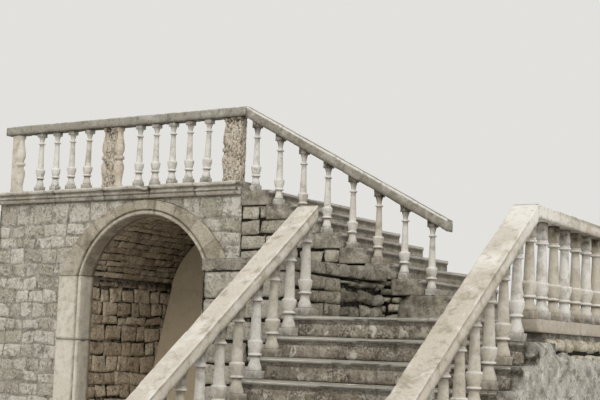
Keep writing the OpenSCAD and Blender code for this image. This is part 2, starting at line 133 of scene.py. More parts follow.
# ---------------- meshes
class Shell:
    """Vertices and faces of one piece, gathered from many stones."""

    def __init__(self):
        self.co, self.faces, self.count = [], [], 0
        # Per vertex values: tone; soiling together with painted shade; paleness from bleaching together with painted
        # highlights.
        self.values = {"tone": [], "dirt_and_shade": [], "pale": []}

    def add(self, co, faces, tone=0.5, dirt_and_shade=0.0, pale=0.0):
        co = np.asarray(co, float).reshape(-1, 3)
        self.co.append(co)
        self.faces += [np.asarray(f) + self.count for f in faces if len(f)]
        for key, value in (("tone", tone), ("dirt_and_shade", dirt_and_shade), ("pale", pale)):
            self.values[key].append(np.broadcast_to(value, len(co)))
        self.count += len(co)


def placed(name, data):
    obj = bpy.data.objects.new(name, data)
    bpy.context.scene.collection.objects.link(obj)
    return obj


def piece(name, shell, material, slot, *nodes):
    """Puts a shell into the scene in one of the stones, in place of the part's nodes."""
    co = (np.concatenate(shell.co) + SHIFT) / 1000
    loops = np.concatenate([f.ravel() for f in shell.faces])
    sizes = np.concatenate([np.full(len(f), f.shape[1]) for f in shell.faces])
    starts = np.concatenate([[0], np.cumsum(sizes)[:-1]])
    mesh = bpy.data.meshes.new(name)
    mesh.vertices.add(len(co))
    mesh.vertices.foreach_set("co", co.astype(np.float32).ravel())
    mesh.loops.add(len(loops))
    mesh.loops.foreach_set("vertex_index", loops.astype(np.int32))
    mesh.polygons.add(len(sizes))
    mesh.polygons.foreach_set("loop_start", starts.astype(np.int32))
    mesh.polygons.foreach_set("use_smooth", np.ones(len(sizes), bool))
    mesh.update(calc_edges=True)
    mesh.validate()
    for key, values in shell.values.items():
        data = mesh.attributes.new(key, "FLOAT", "POINT").data
        data.foreach_set("value", np.concatenate(values).astype(np.float32))
    mesh.materials.append(STONE[material])
    obj = placed(name, mesh)
    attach(obj, "root")
    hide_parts(*nodes)


def grid_faces(nu, nv, wrap=False):
    a = np.arange(nu * nv).reshape(nu, nv)
    if wrap:
        a = np.concatenate([a, a[:, :1]], 1)
    return np.stack([a[:-1, :-1], a[1:, :-1], a[1:, 1:], a[:-1, 1:]], -1).reshape(-1, 4)


def normals(co, faces):
    n = np.zeros_like(co)
    for f in faces:
        p = co[f]
        cross = np.cross(p[:, 1] - p[:, 0], p[:, 2] - p[:, 0])
        if f.shape[1] == 4:
            cross = cross + np.cross(p[:, 2] - p[:, 0], p[:, 3] - p[:, 0])
        for c in range(f.shape[1]):
            np.add.at(n, f[:, c], cross)
    return n / np.maximum(np.linalg.norm(n, axis=1, keepdims=True), 1e-9)


def volume(co, faces):
    p0 = co - co.mean(0)
    total = 0
    for f in faces:
        p = p0[f]
        for c in range(1, f.shape[1] - 1):
            total += np.einsum("ij,ij->i", p[:, 0], np.cross(p[:, c], p[:, c + 1])).sum()
    return total


def tube(rings, shrink):
    """Vertices and faces of a closed solid through rings of points, its ends closed by shrunk rings."""
    rings = np.asarray(rings, float)
    n, m, _ = rings.shape
    co, faces = [rings.reshape(-1, 3)], [grid_faces(n, m, True)]
    count = n * m
    for end in (0, n - 1):
        turn = 1 if end == 0 else -1
        ring, middle = rings[end], rings[end].mean(0)
        last = np.arange(end * m, end * m + m)
        for s in shrink:
            co.append(middle + (ring - middle) * s)
            new = np.arange(count, count + m)
            faces.append(np.stack([last, np.roll(last, -1), np.roll(new, -1), new], -1)[:, ::turn])
            last, count = new, count + m
        co.append(middle[None])
        faces.append(np.stack([last, np.roll(last, -1), np.full(m, count)], -1)[:, ::turn])
        count += 1
    co = np.concatenate(co)
    if volume(co, faces) < 0:
        faces = [f[:, ::-1] for f in faces]
    return co, faces


def turned(profile, angles, squash=1.0):
    """Rings of a turned form from its (radius, height) profile."""
    x, y = np.cos(angles), np.sin(angles)
    return [np.column_stack([r * x * squash, r * y, np.full(len(x), z)]) for r, z in profile]


def worn(co, faces, seed, amp, size, fine, chip, chip_size, edges):
    """Moves the surface inward by noise, more at worn edges."""
    move = amp * swell(co, size, seed) + fine * (0.5 + 0.5 * noise(co, size / 5, seed + 5))
    move = move + chip * edges * unit(fbm(co, chip_size, seed + 9) - 0.12) * 1.6
    return co - normals(co, faces) * np.clip(move, 0, None)[:, None]


def sampled(points, step):
    """A closed 2-D outline with points added so that none is much further apart than step."""
    points = np.asarray(points, float)
    out = []
    for a, b in zip(points, np.roll(points, -1, 0)):
        k = max(1, int(round(np.linalg.norm(b - a) / step)))
        out += [a + (b - a) * i / k for i in range(k)]
    return np.array(out)


def arc(cx, cy, r, a0, a1, n):
    a = np.radians(np.linspace(a0, a1, n + 1))
    return [(cx + r * math.cos(t), cy + r * math.sin(t)) for t in a]


def rounded(hx, hy, r):
    """A rectangle of half sizes hx and hy about the origin, with rounded corners."""
    corners = ((1, 1, 0), (-1, 1, 90), (-1, -1, 180), (1, -1, 270))
    return [p for sx, sy, a in corners for p in arc(sx * (hx - r), sy * (hy - r), r, a, a + 90, 2)]


def fill(shell, lo, hi, tone=0.3, dirt_and_shade=0.6):
    """Solid stone behind a skin, between two corners."""
    plan = ((lo[0], lo[1]), (hi[0], lo[1]), (hi[0], hi[1]), (lo[0], hi[1]))
    shell.add(*tube([[(x, y, z) for x, y in plan] for z in (lo[2], hi[2])], (0.5,)), tone, dirt_and_shade)


def fill_over_arch(shell, x0, z, r, half, top, y0, y1):
    """Solid stone from x0 to the corner and up to top, over an arch of radius r about height z."""
    curve = ARCH_X + r * np.sin(np.linspace(-1, 1, 41) * math.asin(half / r))
    xs = np.concatenate([[x0], curve, [X_CORNER]])
    arch = np.minimum(z + np.sqrt(np.maximum(r ** 2 - (xs - ARCH_X) ** 2, 0)), top - 2)
    low = np.where(np.abs(xs - ARCH_X) < half - 1, arch, IMPOST)
    rings = [[(x, y0, a), (x, y1, a), (x, y1, top), (x, y0, top)] for x, a in zip(xs, low)]
    shell.add(*tube(rings, (0.5,)), 0.3, 0.6)


# ---------------- stonework on a surface
def plane(origin, du, dv, n):
    o, du, dv, n = (np.array(x, float) for x in (origin, du, dv, n))
    return lambda u, v, h: o + u[..., None] * du + v[..., None] * dv + h[..., None] * n


def facing_x(x, side):
    return plane((x, 0, 0), (0, 1, 0), (0, 0, 1), (side, 0, 0))


def facing_y(y, side):
    return plane((0, y, 0), (1, 0, 0), (0, 0, 1), (0, side, 0))


def facing_up(z):
    return plane((0, 0, z), (1, 0, 0), (0, 1, 0), (0, 0, 1))


def handed(fmap, u, v):
    """True if the map's u, v and outward directions are left-handed, so faces have to be turned."""
    places = ((0, 0, 0), (1, 0, 0), (0, 1, 0), (0, 0, 1))
    p = [fmap(np.array([u + a]), np.array([v + b]), np.array([c]))[0] for a, b, c in places]
    return np.dot(np.cross(p[1] - p[0], p[2] - p[0]), p[3] - p[0]) < 0


def skin(shell, fmap, flip, U, V, H, tone, dirt_and_shade, keep=None, depth=0.0):
    """A patch over a grid of surface places, less the faces with nothing to keep, with a skirt going back by
    depth round its edge."""
    faces = grid_faces(*U.shape)
    if keep is not None:
        faces = faces[keep.ravel()[faces].any(1)]
        if not len(faces):
            return
    co = fmap(U, V, H).reshape(-1, 3)
    tone, dirt_and_shade = (np.broadcast_to(x, U.shape).ravel() for x in (tone, dirt_and_shade))
    every = [faces]
    if depth:
        edges = np.concatenate([faces[:, [i, (i + 1) % 4]] for i in range(4)])
        there, reverse = edges @ (1000003, 1), edges @ (1, 1000003)  # one number for each edge and way along it
        rim = edges[~np.isin(there, reverse)]
        used = np.unique(rim)
        place = np.full(len(co), -1)
        place[used] = len(co) + np.arange(len(used))
        every.append(np.stack([rim[:, 1], rim[:, 0], place[rim[:, 0]], place[rim[:, 1]]], -1))
        low = fmap(U, V, np.full(U.shape, -depth)).reshape(-1, 3)
        co = np.concatenate([co, low[used]])
        tone = np.concatenate([tone, tone[used]])
        dirt_and_shade = np.concatenate([dirt_and_shade, np.minimum(dirt_and_shade[used] + 0.35, 1)])
    if flip:
        every = [f[:, ::-1] for f in every]
    all_faces = np.concatenate(every)
    used = np.unique(all_faces)
    place = np.zeros(len(co), int)
    place[used] = np.arange(len(used))
    shell.add(co[used], [place[all_faces]], tone[used], dirt_and_shade[used])


def courses(rng, u0, u1, v0, v1, heights, lengths):
    """Boxes (ua, ub, va, vb) of coursed stones filling an area."""
    v, row = v0, 0
    while v < v1 - 1:
        h = rng.uniform(*heights)
        if v1 - v - h < heights[0] * 0.7:
            h = v1 - v
        u = u0
        while u < u1 - 1:
            w = rng.uniform(*lengths) * (rng.uniform(0.45, 1) if u == u0 and row % 2 else 1)
            if u1 - u - w < lengths[0] * 0.6:
                w = u1 - u
            yield u, u + w, v, v + h
            u += w
        v += h
        row += 1


def wall(shell, fmap, area, seed, heights, lengths, gap=9.0, bed=11.0, relief=6.0, drop=6.0, edge=11.0, wobble=9.0,
         cut=None, cell=42.0, tones=(0.25, 0.8), dirt_and_shade=lambda p: 0.0, mortar_tone=0.9, jitter=5.0, stand=4.0,
         mortar_dirt=0.0):
    """Coursed stones over a mortar bed, which lies bed deep. Heights h are at most 0, the solid's surface.
    A stone's face is uneven by relief, falls by drop over edge, and lies up to stand back."""
    u0, u1, v0, v1 = area
    flip = handed(fmap, (u0 + u1) / 2, (v0 + v1) / 2)
    rng = np.random.default_rng(seed)

    def place(U, V):
        """Bends the courses a little, and moves what an opening cuts to its edge."""
        fade = unit(np.minimum.reduce([U - u0, u1 - U, V - v0, v1 - V]) / 160)
        q = np.stack([U, V, np.full_like(U, seed * 7919.0)], -1)
        U, V = U + fade * wobble * 0.7 * fbm(q, 420, seed), V + fade * wobble * fbm(q, 520, seed + 3)
        keep, U, V = cut(U, V) if cut else (None, U, V)
        return np.clip(U, u0, u1), np.clip(V, v0, v1), keep

    nu, nv = (max(3, int(length / 55) + 1) for length in (u1 - u0, v1 - v0))
    U, V, keep = place(*np.meshgrid(np.linspace(u0, u1, nu), np.linspace(v0, v1, nv), indexing="ij"))
    p = fmap(U, V, np.zeros_like(U))
    H = np.minimum(-bed + 2.5 * fbm(p, 90, seed + 1), -1)
    skin(shell, fmap, flip, U, V, H, mortar_tone, np.maximum(mortar_dirt, dirt_and_shade(p)), keep)
    for ua, ub, va, vb in courses(rng, u0, u1, v0, v1, heights, lengths):
        g = gap / 2 * rng.uniform(0.7, 1.3)
        ua, ub, va, vb = ua + g, ub - g, va + g, vb - g
        w, h = ub - ua, vb - va
        if w < 15 or h < 15:
            continue
        e = min(edge, w / 4, h / 4)
        s, t = ([0, *np.linspace(e, x - e, max(2, int(x / cell) + 1)), x] for x in (w, h))
        S, T = np.meshgrid(s, t, indexing="ij")
        j = rng.uniform(-1, 1, (2, 2, 2)) * jitter
        a, b = S / w, T / h
        corners = [(1 - a) * (1 - b), a * (1 - b), (1 - a) * b, a * b]
        du, dv = (corners[0] * j[0, 0, c] + corners[1] * j[1, 0, c] + corners[2] * j[0, 1, c] + corners[3] * j[1, 1, c]
                  for c in (0, 1))
        U, V, keep = place(ua + S + du, va + T + dv)
        if keep is not None and not keep.any():
            continue
        p = fmap(U, V, np.zeros_like(U))
        slope = rng.uniform(-1, 1, 2) * 2.0
        own = seed + int(rng.integers(999))
        rim = np.minimum.reduce([S, w - S, T, h - T])
        uneven = 0.5 + 0.32 * fbm(p, 85, own) + 0.26 * noise(p, 38, own + 3) + 0.2 * noise(p, 19, own + 4)
        H = -drop * unit(1 - rim / e) ** 2 - rng.uniform(0, stand) - relief * uneven
        H = np.clip(H + slope[0] * (a - 0.5) + slope[1] * (b - 0.5), -bed - 6, -0.3)
        skin(shell, fmap, flip, U, V, H, rng.uniform(*tones), dirt_and_shade(p), keep, bed + 9)


# ---------------- materials
def linear(code):
    """A colour of six hex digits in the shader's linear values."""
    parts = [int(code[i:i + 2], 16) / 255 for i in (0, 2, 4)]
    return tuple(((x + 0.055) / 1.055) ** 2.4 if x > 0.04 else x / 12.92 for x in parts) + (1.0,)


STONE = {}


def stone(name, colors, mottle, fleck, patches, pits, bump, rough=0.88, blotch=1.7, grain=1.0, green=0.0,
          lichen=0.0, depth=0.012, grit=0.2):
    """Weathered stone in the colours of light, darker, dark and pale stone and of soiling, which also gives painted
    shade: two tones by stone, dark mottling, pale patches, grit, soiling with painted shade and bleaching with painted
    highlights from the mesh, and a pitted bump."""
    base, other, dark, pale, soiled_and_shaded = (linear(code) for code in colors.split())
    STONE[name] = mat = bpy.data.materials.new(name)
    mat.use_nodes = True
    nodes, links = mat.node_tree.nodes, mat.node_tree.links
    nodes.clear()

    def node(kind, **values):
        n = nodes.new("ShaderNode" + kind)
        for k, v in values.items():
            if k in n.inputs:
                n.inputs[k].default_value = v
            else:
                setattr(n, k, v)
        return n

    def give(value, socket):
        if isinstance(value, bpy.types.NodeSocket):
            links.new(value, socket)
        else:
            socket.default_value = value

    def joined(operation, a, b, clamp=False):
        n = node("Math", operation=operation, use_clamp=clamp)
        give(a, n.inputs[0])
        give(b, n.inputs[1])
        return n.outputs[0]

    def times(a, b, clamp=False):
        return joined("MULTIPLY", a, b, clamp)

    def plus(a, b):
        return joined("ADD", a, b)

    def attribute(key):
        return node("Attribute", attribute_name=key).outputs["Fac"]

    def cloud(vector, scale, detail, roughness, distortion=0.0):
        n = node("TexNoise", Scale=scale, Detail=detail, Roughness=roughness, Distortion=distortion)
        links.new(vector, n.inputs["Vector"])
        return n.outputs["Fac"]

    def ramp(value, lo, hi):
        n = node("MapRange", interpolation_type="SMOOTHSTEP")
        n.inputs["From Min"].default_value, n.inputs["From Max"].default_value = min(lo, hi), max(lo, hi)
        if lo > hi:
            n.inputs["To Min"].default_value, n.inputs["To Max"].default_value = 1.0, 0.0
        links.new(value, n.inputs["Value"])
        return n.outputs["Result"]

    def mixed(factor, a, b):
        n = node("Mix", data_type="RGBA")
        for value, place in ((factor, 0), (a, 6), (b, 7)):
            give(value, n.inputs[place])
        return n.outputs[2]

    coords = node("TexCoord").outputs["Object"]
    tone = attribute("tone")
    offset, spread = node("CombineXYZ"), node("VectorMath", operation="ADD")
    for i, k in enumerate((9.0, 5.0, 13.0)):
        links.new(times(tone, k), offset.inputs[i])
    links.new(coords, spread.inputs[0])
    links.new(offset.outputs[0], spread.inputs[1])
    own = spread.outputs[0]
    large = cloud(coords, blotch, 4.0, 0.55)
    medium = cloud(own, 9.0 * grain, 6.0, 0.62, 0.3)
    small = cloud(own, 38.0 * grain, 5.0, 0.65)
    tiny = cloud(own, 150.0 * grain, 3.0, 0.6)
    speck = cloud(coords, 46.0, 4.0, 0.75)
    gritty = plus(times(ramp(cloud(own, 6.5, 3.0, 0.6), 0.42, 0.58), grit), 0.25 * grit)
    color = mixed(ramp(plus(times(tone, 0.75), times(large, 0.5)), 0.3, 0.95), other, base)
    layers = [(ramp(medium, 0.50, 0.66), mottle, dark), (ramp(small, 0.52, 0.70), fleck, dark),
              (ramp(cloud(coords, 4.3 * grain, 7.0, 0.68, 0.4), 0.50, 0.64), patches, pale),
              (ramp(speck, 0.49, 0.62), gritty, pale), (ramp(speck, 0.49, 0.38), gritty, dark)]
    if green:
        layers.append((ramp(cloud(coords, 2.7, 6.0, 0.7), 0.52, 0.7), green, linear("969876")))
    if lichen:
        layers.append((ramp(cloud(own, 7.5, 3.0, 0.55, 0.3), 0.60, 0.64), lichen, pale))
    for mask, amount, tint in layers:
        color = mixed(times(mask, amount), color, tint)
    # Soiling from the mesh, which also carries painted shade under rails, fillets and mouldings and in recesses, mixed
    # in through patchy noise.
    dirt_and_shade_patchiness = plus(ramp(cloud(coords, 11.0, 5.0, 0.65), 0.25, 0.7), 0.35)
    color = mixed(times(attribute("dirt_and_shade"), dirt_and_shade_patchiness, True), color, soiled_and_shaded)
    # Paleness from the mesh: real bleaching, and painted highlights on the nosings, the rail arrises and the arch
    # roll.
    bleach_and_highlight = plus(ramp(cloud(own, 24.0, 4.0, 0.6), 0.3, 0.55), 0.25)
    color = mixed(times(attribute("pale"), bleach_and_highlight, True), color, pale)
    shader = node("BsdfPrincipled", Roughness=rough)
    shader.inputs["Specular IOR Level"].default_value = 0.25
    links.new(color, shader.inputs["Base Color"])
    cells = node("TexVoronoi", Scale=95.0 * grain)
    links.new(own, cells.inputs["Vector"])
    hollow = times(ramp(cells.outputs["Distance"], 0.05, 0.32), pits)
    height = plus(plus(medium, times(small, 0.55)), plus(times(tiny, 0.16), times(hollow, 0.35)))
    bumped = node("Bump", Strength=bump, Distance=depth)
    links.new(height, bumped.inputs["Height"])
    links.new(bumped.outputs[0], shader.inputs["Normal"])
    links.new(shader.outputs[0], node("OutputMaterial").inputs["Surface"])


stone("wall_limestone", "dcd6c9 b2ab9b 625c4e eae6dc 544c3c", 0.7, 0.75, 0.45, 0.8, 1.0, depth=0.045, grit=0.45)
stone("side_rough_stone", "c4bfb0 968f7e 565041 dcd7cb 1e1910", 0.65, 0.7, 0.45, 0.8, 1.0, depth=0.035, grit=0.3)
stone("rubble", "ccc5b4 a09988 585142 ded8ca 1a150c", 0.6, 0.7, 0.4, 0.7, 1.0, depth=0.035, grit=0.3)
stone("vault_stone", "dccbb1 b4a38a 605340 e8dbc6 0e0a05", 0.7, 0.7, 0.35, 0.7, 1.0, depth=0.045, grit=0.5)
stone("recess_plaster", "baac94 aa9c84 92846c c4b8a2 504636", 0.3, 0.15, 0.2, 0.2, 0.35, rough=0.92)
stone("arch_limestone", "b0a897 968d7b 685f4d cec8b9 564d3c", 0.6, 0.45, 0.4, 0.5, 0.8)
stone("jamb_limestone", "cec8ba b8b0a0 8c8270 e0dbd0 766c58", 0.45, 0.35, 0.4, 0.5, 0.6, grit=0.12)
stone("rail_limestone", "d0c9bc b6ac9a 908471 e4e1d8 5c5240", 0.6, 0.35, 0.65, 0.45, 0.6, blotch=2.4, grit=0.12)
stone("terrace_rail_stone", "9e9b90 888376 625c4e d8d5cc 544e3e", 0.55, 0.5, 0.35, 0.55, 0.7, grit=0.15)
stone("baluster_limestone", "d6d3cc bcb4a4 827763 e6e3dd 4c4332", 0.45, 0.4, 0.4, 0.5, 0.6, grit=0.1)
stone("upper_tread_stone", "ccc5b4 aaa292 645c4d e2dcd0 3e3729", 0.6, 0.65, 0.45, 0.7, 1.0, grain=1.2, depth=0.03,
      grit=0.3)
stone("tread_stone", "bcb3a2 9c9280 4e4536 eae5d8 42392b", 0.7, 0.75, 0.45, 0.7, 1.0, grain=1.2, lichen=0.95,
      depth=0.03, grit=0.6)
stone("pitted_pier_stone", "d0c6b5 beb2a0 786c59 e4ddd0 382c1e", 0.35, 0.55, 0.35, 0.8, 1.0)
stone("cornice_stone", "bab4a7 9c9485 625a4b dad6cc 4e4637", 0.65, 0.6, 0.45, 0.6, 0.9, depth=0.02, grit=0.15)
stone("coping_stone", "beb4a6 aea495 8c8272 d0c9bd 544c3e", 0.35, 0.4, 0.35, 0.5, 0.6)
stone("rough_plaster", "faf6e8 f0ebdc 928977 fcf9f0 504838", 0.6, 0.6, 0.6, 0.8, 0.9, green=0.12, depth=0.035,
      grit=0.8)
stone("bare_stone_under_coping", "dad3c0 bab19b 766c56 ece7d9 1e180d", 0.6, 0.6, 0.4, 0.8, 1.0, depth=0.03, grit=0.45)
stone("paving_stone", "b8b2a5 a49d8e 827a6a ccc7bb 625a4a", 0.4, 0.35, 0.35, 0.4, 0.6)


# ---------------- balusters
# heights of the lower ring, the top of the belly and the neck ring, then the scale
KINDS = {"run": (168.0, 283.0, 586.0, 1.0), "flight": (189.0, 299.0, 617.0, 1.0), "slim": (160.0, 260.0, 560.0, 0.88)}


def plumb(slope):
    """Upright thickness of a rail at that slope."""
    return RAIL_THICK / math.cos(math.atan(slope))


def wave(degrees):
    """Goes from 0 to 2 over half a turn."""
    return 1 - math.cos(math.radians(degrees))


def outline(kind, cap_z):
    """Profile of a turned baluster between its square foot and head, as (radius, height)."""
    ring, belly, neck, w = KINDS[kind]
    low = 54.5 if w < 1 else 60.5
    pts = [(low, 61), (low, 71)]
    pts += [(low - (low - 40) * wave(30 * i) / 2, 71 + (ring - 105) * i / 6) for i in range(1, 7)]
    pts += [(39, ring - 14), *arc(44, ring, 12, -90, 90, 8), (41, ring + 14)]
    pts += [(44 + 19 * math.sin(math.radians(15 * i)), ring + 17 + (belly - ring - 30) * i / 6) for i in range(7)]
    pts += [(63, belly - 6), (60, belly)]
    shaft = [(50, belly + 5)] + [(47 - 13 * i / 7, belly + 12 + (neck - 30 - belly) * i / 7) for i in range(8)]
    shaft += [(35, neck - 12), (49, neck - 7), *arc(47, neck, 6, -60, 60, 4)]
    if w < 1:
        head = [(27 + 19 * wave(15 * i), neck + 9 + (cap_z - neck - 9) * i / 6) for i in range(7)]
    else:
        head = [(48 - 13 * math.sin(math.radians(18 * i)), neck + 8 + 6 * i) for i in range(6)]
    return [(w * r, z) for r, z in pts] + [(w * w * r, z) for r, z in shaft] + [(w * r, z) for r, z in head]


def square(half, z, corner=7.0, per=4, rise=(0, 0)):
    """A ring round a square with rounded corners, tilted by rise."""
    pts = sampled(rounded(half, half, corner), 2 * half / per)
    return np.column_stack([pts, z + pts[:, 0] * rise[0] + pts[:, 1] * rise[1]])


def at_corners(co, width):
    return (np.abs(np.abs(co[:, 0]) - np.abs(co[:, 1])) < width).astype(float)


def baluster(shell, spot, kind, seed, rise, lean, tone, shade):
    rng = np.random.default_rng(seed)
    ring, belly, neck, w = KINDS[kind]
    slim, height = w < 1, spot[3]
    tone = rng.uniform(0.2, 0.95) if tone is None else tone
    spin = rng.uniform(0, 2 * math.pi)
    squash = 1 - rng.uniform(0, 0.03)
    bend = rng.uniform(-2, 2, 2)

    def put(co, faces, number, *wear):
        co = worn(co, faces, seed * 3 + number, *wear)
        local = co[:, 2]
        k = local / height
        moved = co + spot[:3]
        for c in (0, 1):
            moved[:, c] += lean[c] * k + bend[c] * np.sin(k * math.pi)
        foot_dirt = 0.5 * unit(1.35 - local / 75) if slim else 0.6 * unit(1.3 - local / 70)
        # Painted shade under the ring and under the neck ring, and on the head under the rail together with real
        # staining; the foot is soiled.
        dirt_and_shade = highest(shade * unit((local - neck - 14) / 80), 0.75 * peak(local, ring - 17, 11),
                       0.65 * peak(local, neck - 12, 9), foot_dirt)
        edge = highest(*[peak(local, v, 7) for v in (ring + 3, belly - 3, neck + 2)])
        shell.add(moved, faces, tone, unit(dirt_and_shade + 0.16 * fbm(co + seed * 31.0, 90, seed)), 0.75 * edge)

    cap_z = neck + (height - neck) * 0.68
    around = spin + np.linspace(0, 2 * math.pi, 28, endpoint=False)
    co, faces = tube(turned(outline(kind, cap_z), around, squash), (0.5,))
    radius = np.hypot(co[:, 0], co[:, 1])
    put(co, faces, 1, 1.6, 70, 0.8, 5.0, 34.0, unit((radius / w - 44) / 8))
    foot = 62.5 * w - (5 if slim else 0)
    levels = ((1.5, 0), (0, 5), (0, 24), (0, 44), (0, 58), (2, 63), (6, 65))
    co, faces = tube([square(foot - less, z) for less, z in levels], (0.7,))
    put(co, faces, 2, 6.0 if slim else 2.4, 60, 1.6, 16.0 if slim else 9.0, 34.0, at_corners(co, 14))
    half, low = (48 * w, cap_z - 4) if slim else (37.0, neck + 30)
    up = height - 0.3 - low
    head = [square(half, low + up * t, 5, 3, (rise[0] * t, rise[1] * t)) for t in (0, 0.25, 0.5, 0.75, 1)]
    co, faces = tube(head, (0.6,))
    put(co, faces, 3, 1.5, 50, 0.8, 4.0, 34.0, at_corners(co, 9))


def balusters(name, node, spots, kind, seed, rise=(0, 0), leans={}, tones={}, shade=0.75):
    """A row of balusters. Spots are (x, y, z, clear height under the rail). Leans and tones go by place in the row."""
    shell = Shell()
    for i, spot in enumerate(spots):
        baluster(shell, spot, kind, seed + i, rise, leans.get(i, (0, 0)), tones.get(i), shade)
    piece(name, shell, "baluster_limestone", "dressed_stone", node)


RUN_COUNT = 14
TERRACE_HEIGHT = TERRACE_TOP - RAIL_THICK
PIER_LEFT = (X_END + 115, X_END + 205)
PIER_CORNER = (X_CORNER - 255, X_CORNER - 52)
right_x1 = PIER_CORNER[0] - 273
right_x0 = right_x1 - 4 * PITCH
PIER_MIDDLE = (right_x0 - 293 - 177, right_x0 - 293)
left_x0, left_x1 = PIER_LEFT[1] + 333, PIER_MIDDLE[0] - 287
balusters("balusters_terrace_left", "terrace_balusters_left",
          [(left_x0 + i * (left_x1 - left_x0) / 3, 0, KERB_Z, TERRACE_HEIGHT) for i in range(4)], "slim", 100,
          leans={3: (14, 0)}, tones={0: 0.8, 1: 0.9, 2: 0.6, 3: 0.4}, shade=0.6)
balusters("balusters_terrace_right", "terrace_balusters_right",
          [(right_x1 - (4 - i) * PITCH, 0, KERB_Z, TERRACE_HEIGHT) for i in range(5)], "slim", 120,
          leans={4: (20, 0)}, shade=0.6)
upper_spots = []
for k in range(1, UPPER_STEPS + 1):
    x, z = UPPER_LOW_X - (k - 1) * UPPER_GOING, upper_top(k)
    upper_spots.append((x, 0, z, RAIL_Z - (x - X_CORNER) * RAIL_SLOPE - plumb(RAIL_SLOPE) - z))
balusters("balusters_upper", "upper_balusters", upper_spots, "slim", 140, rise=(-RAIL_SLOPE, 0), shade=0.8)
lower_spots = [(FIRST_Y - i * GOING, LANDING - i * RISER, LOWER_TOP - plumb(LOWER_SLOPE)) for i in range(11)]
balusters("balusters_lower_left", "lower_balusters_left", [(0, *spot) for spot in lower_spots], "flight", 160,
          rise=(0, LOWER_SLOPE))
balusters("balusters_lower_right", "lower_balusters_right", [(X_RIGHT, *spot) for spot in lower_spots[1:]], "flight",
          180, rise=(0, LOWER_SLOPE), tones={0: 0.9, 1: 0.15, 3: 0.1})
balusters("balusters_run", "run_balusters",
          [(X_RIGHT, FIRST_Y + i * PITCH, LANDING, RUN_TOP - RAIL_THICK - i * PITCH * RUN_SLOPE)
           for i in range(RUN_COUNT)],
          "run", 200, rise=(0, -RUN_SLOPE), tones={0: -0.3, 1: 1.1, 2: 0.2, 3: 1.0, 4: 0.1, 5: 0.7, 6: 0.2})


# ---------------- piers
def half_outline(r, h):
    """The piers' half balusters: two bellies about a ring."""
    def curve(r0, z0, r1, z1, n):
        return [(r0 + (r1 - r0) * wave(180 * i / n) / 2, z0 + (z1 - z0) * i / n) for i in range(n + 1)]
    pts = [(0.86, 0), (0.86, 0.03), (0.86, 0.055), (0.74, 0.065), *curve(0.68, 0.09, 1, 0.34, 9)]
    pts += curve(0.98, 0.37, 0.68, 0.45, 5) + [(0.68, 0.465), (0.94, 0.474), (1, 0.49), (1, 0.51), (0.94, 0.526)]
    pts += [(0.68, 0.535), *curve(0.68, 0.55, 0.96, 0.63, 5), *curve(0.95, 0.66, 0.58, 0.92, 9)]
    return np.array([(x * r, z * h) for x, z in pts + [(0.84, 0.955), (0.84, 0.98), (0.84, 1)]])


def pitted(co, faces, seed, depth):
    """Worm-like hollows worked into a face."""
    if not depth:
        return co, 0.0
    q = co + 14 * np.stack([noise(co, 46, seed + s) for s in (1, 2, 3)], -1)
    groove = unit(1 - np.abs(noise(q, 25, seed + 7)) / 0.30)
    deep = np.clip(0.75 * groove + 0.9 * unit(noise(co, 15, seed + 8) - 0.15), 0, 1.2)
    return co - normals(co, faces) * (depth * deep)[:, None], deep


def pier(name, node, span, halves, seed, pits, half_pits, tone, material="pitted_pier_stone"):
    """A squared shaft over span in X, with a half baluster worked on it at each of halves."""
    shell = Shell()
    height = TERRACE_HEIGHT - 0.3
    step = 5.5 if pits else 20
    hx, hy = (span[1] - span[0]) / 2, 55.0
    plan = sampled(rounded(hx, hy, 6), step)
    levels = np.linspace(0, height, int(height / step) + 1)
    co, faces = tube([np.column_stack([plan, np.full(len(plan), z)]) for z in levels], (0.8, 0.4))
    corner = ((np.abs(co[:, 0]) > hx - 9) & (np.abs(co[:, 1]) > hy - 9)).astype(float)
    co, deep = pitted(worn(co, faces, seed, 3.0, 110, 1.2, 9.0, 60, corner), faces, seed, pits)
    # Painted shadow of the rail on the top of the shaft.
    under = unit((co[:, 2] - height + 90) / 90) * 0.6
    shell.add(co + [sum(span) / 2, 0, KERB_Z], faces, tone, unit(under + deep))
    for i, x in enumerate(halves):
        profile = half_outline(61.0, height)
        if half_pits:
            fine, at = np.linspace(0, 1, 100), np.linspace(0, 1, len(profile))
            profile = np.column_stack([np.interp(fine, at, profile[:, c]) for c in (0, 1)])
        around = np.linspace(0, 2 * math.pi, 48 if half_pits else 30, endpoint=False)
        co, faces = tube(turned(profile, around), (0.5,))
        proud = unit((np.hypot(co[:, 0], co[:, 1]) - 50) / 8)
        co = worn(co, faces, seed + 3 + i, 1.8, 80, 0.8, 4.0, 40, proud)
        co, deep = pitted(co, faces, seed + 5, half_pits)
        level = co[:, 2] / height
        # Painted shade in the creases beside the ring, and painted shadow of the rail at the top.
        dirt_and_shade = 0.5 * highest(peak(level, 0.458, 0.012), peak(level, 0.54, 0.012), unit((level - 0.9) / 0.1))
        shell.add(co + [x, 0, KERB_Z], faces, min(1, tone + (0 if half_pits else 0.35)), unit(dirt_and_shade + deep))
    piece(name, shell, material, "pier_stone", node)


pier("pier_end", "pier_left", PIER_LEFT, PIER_LEFT[1:], 300, 0, 0, 0.65, "jamb_limestone")
pier("pier_between_bays", "pier_middle", PIER_MIDDLE, PIER_MIDDLE, 310, 12.0, 0, 0.15)
pier("pier_at_corner", "pier_corner", PIER_CORNER, PIER_CORNER[:1], 320, 11.0, 8.0, 0.45)


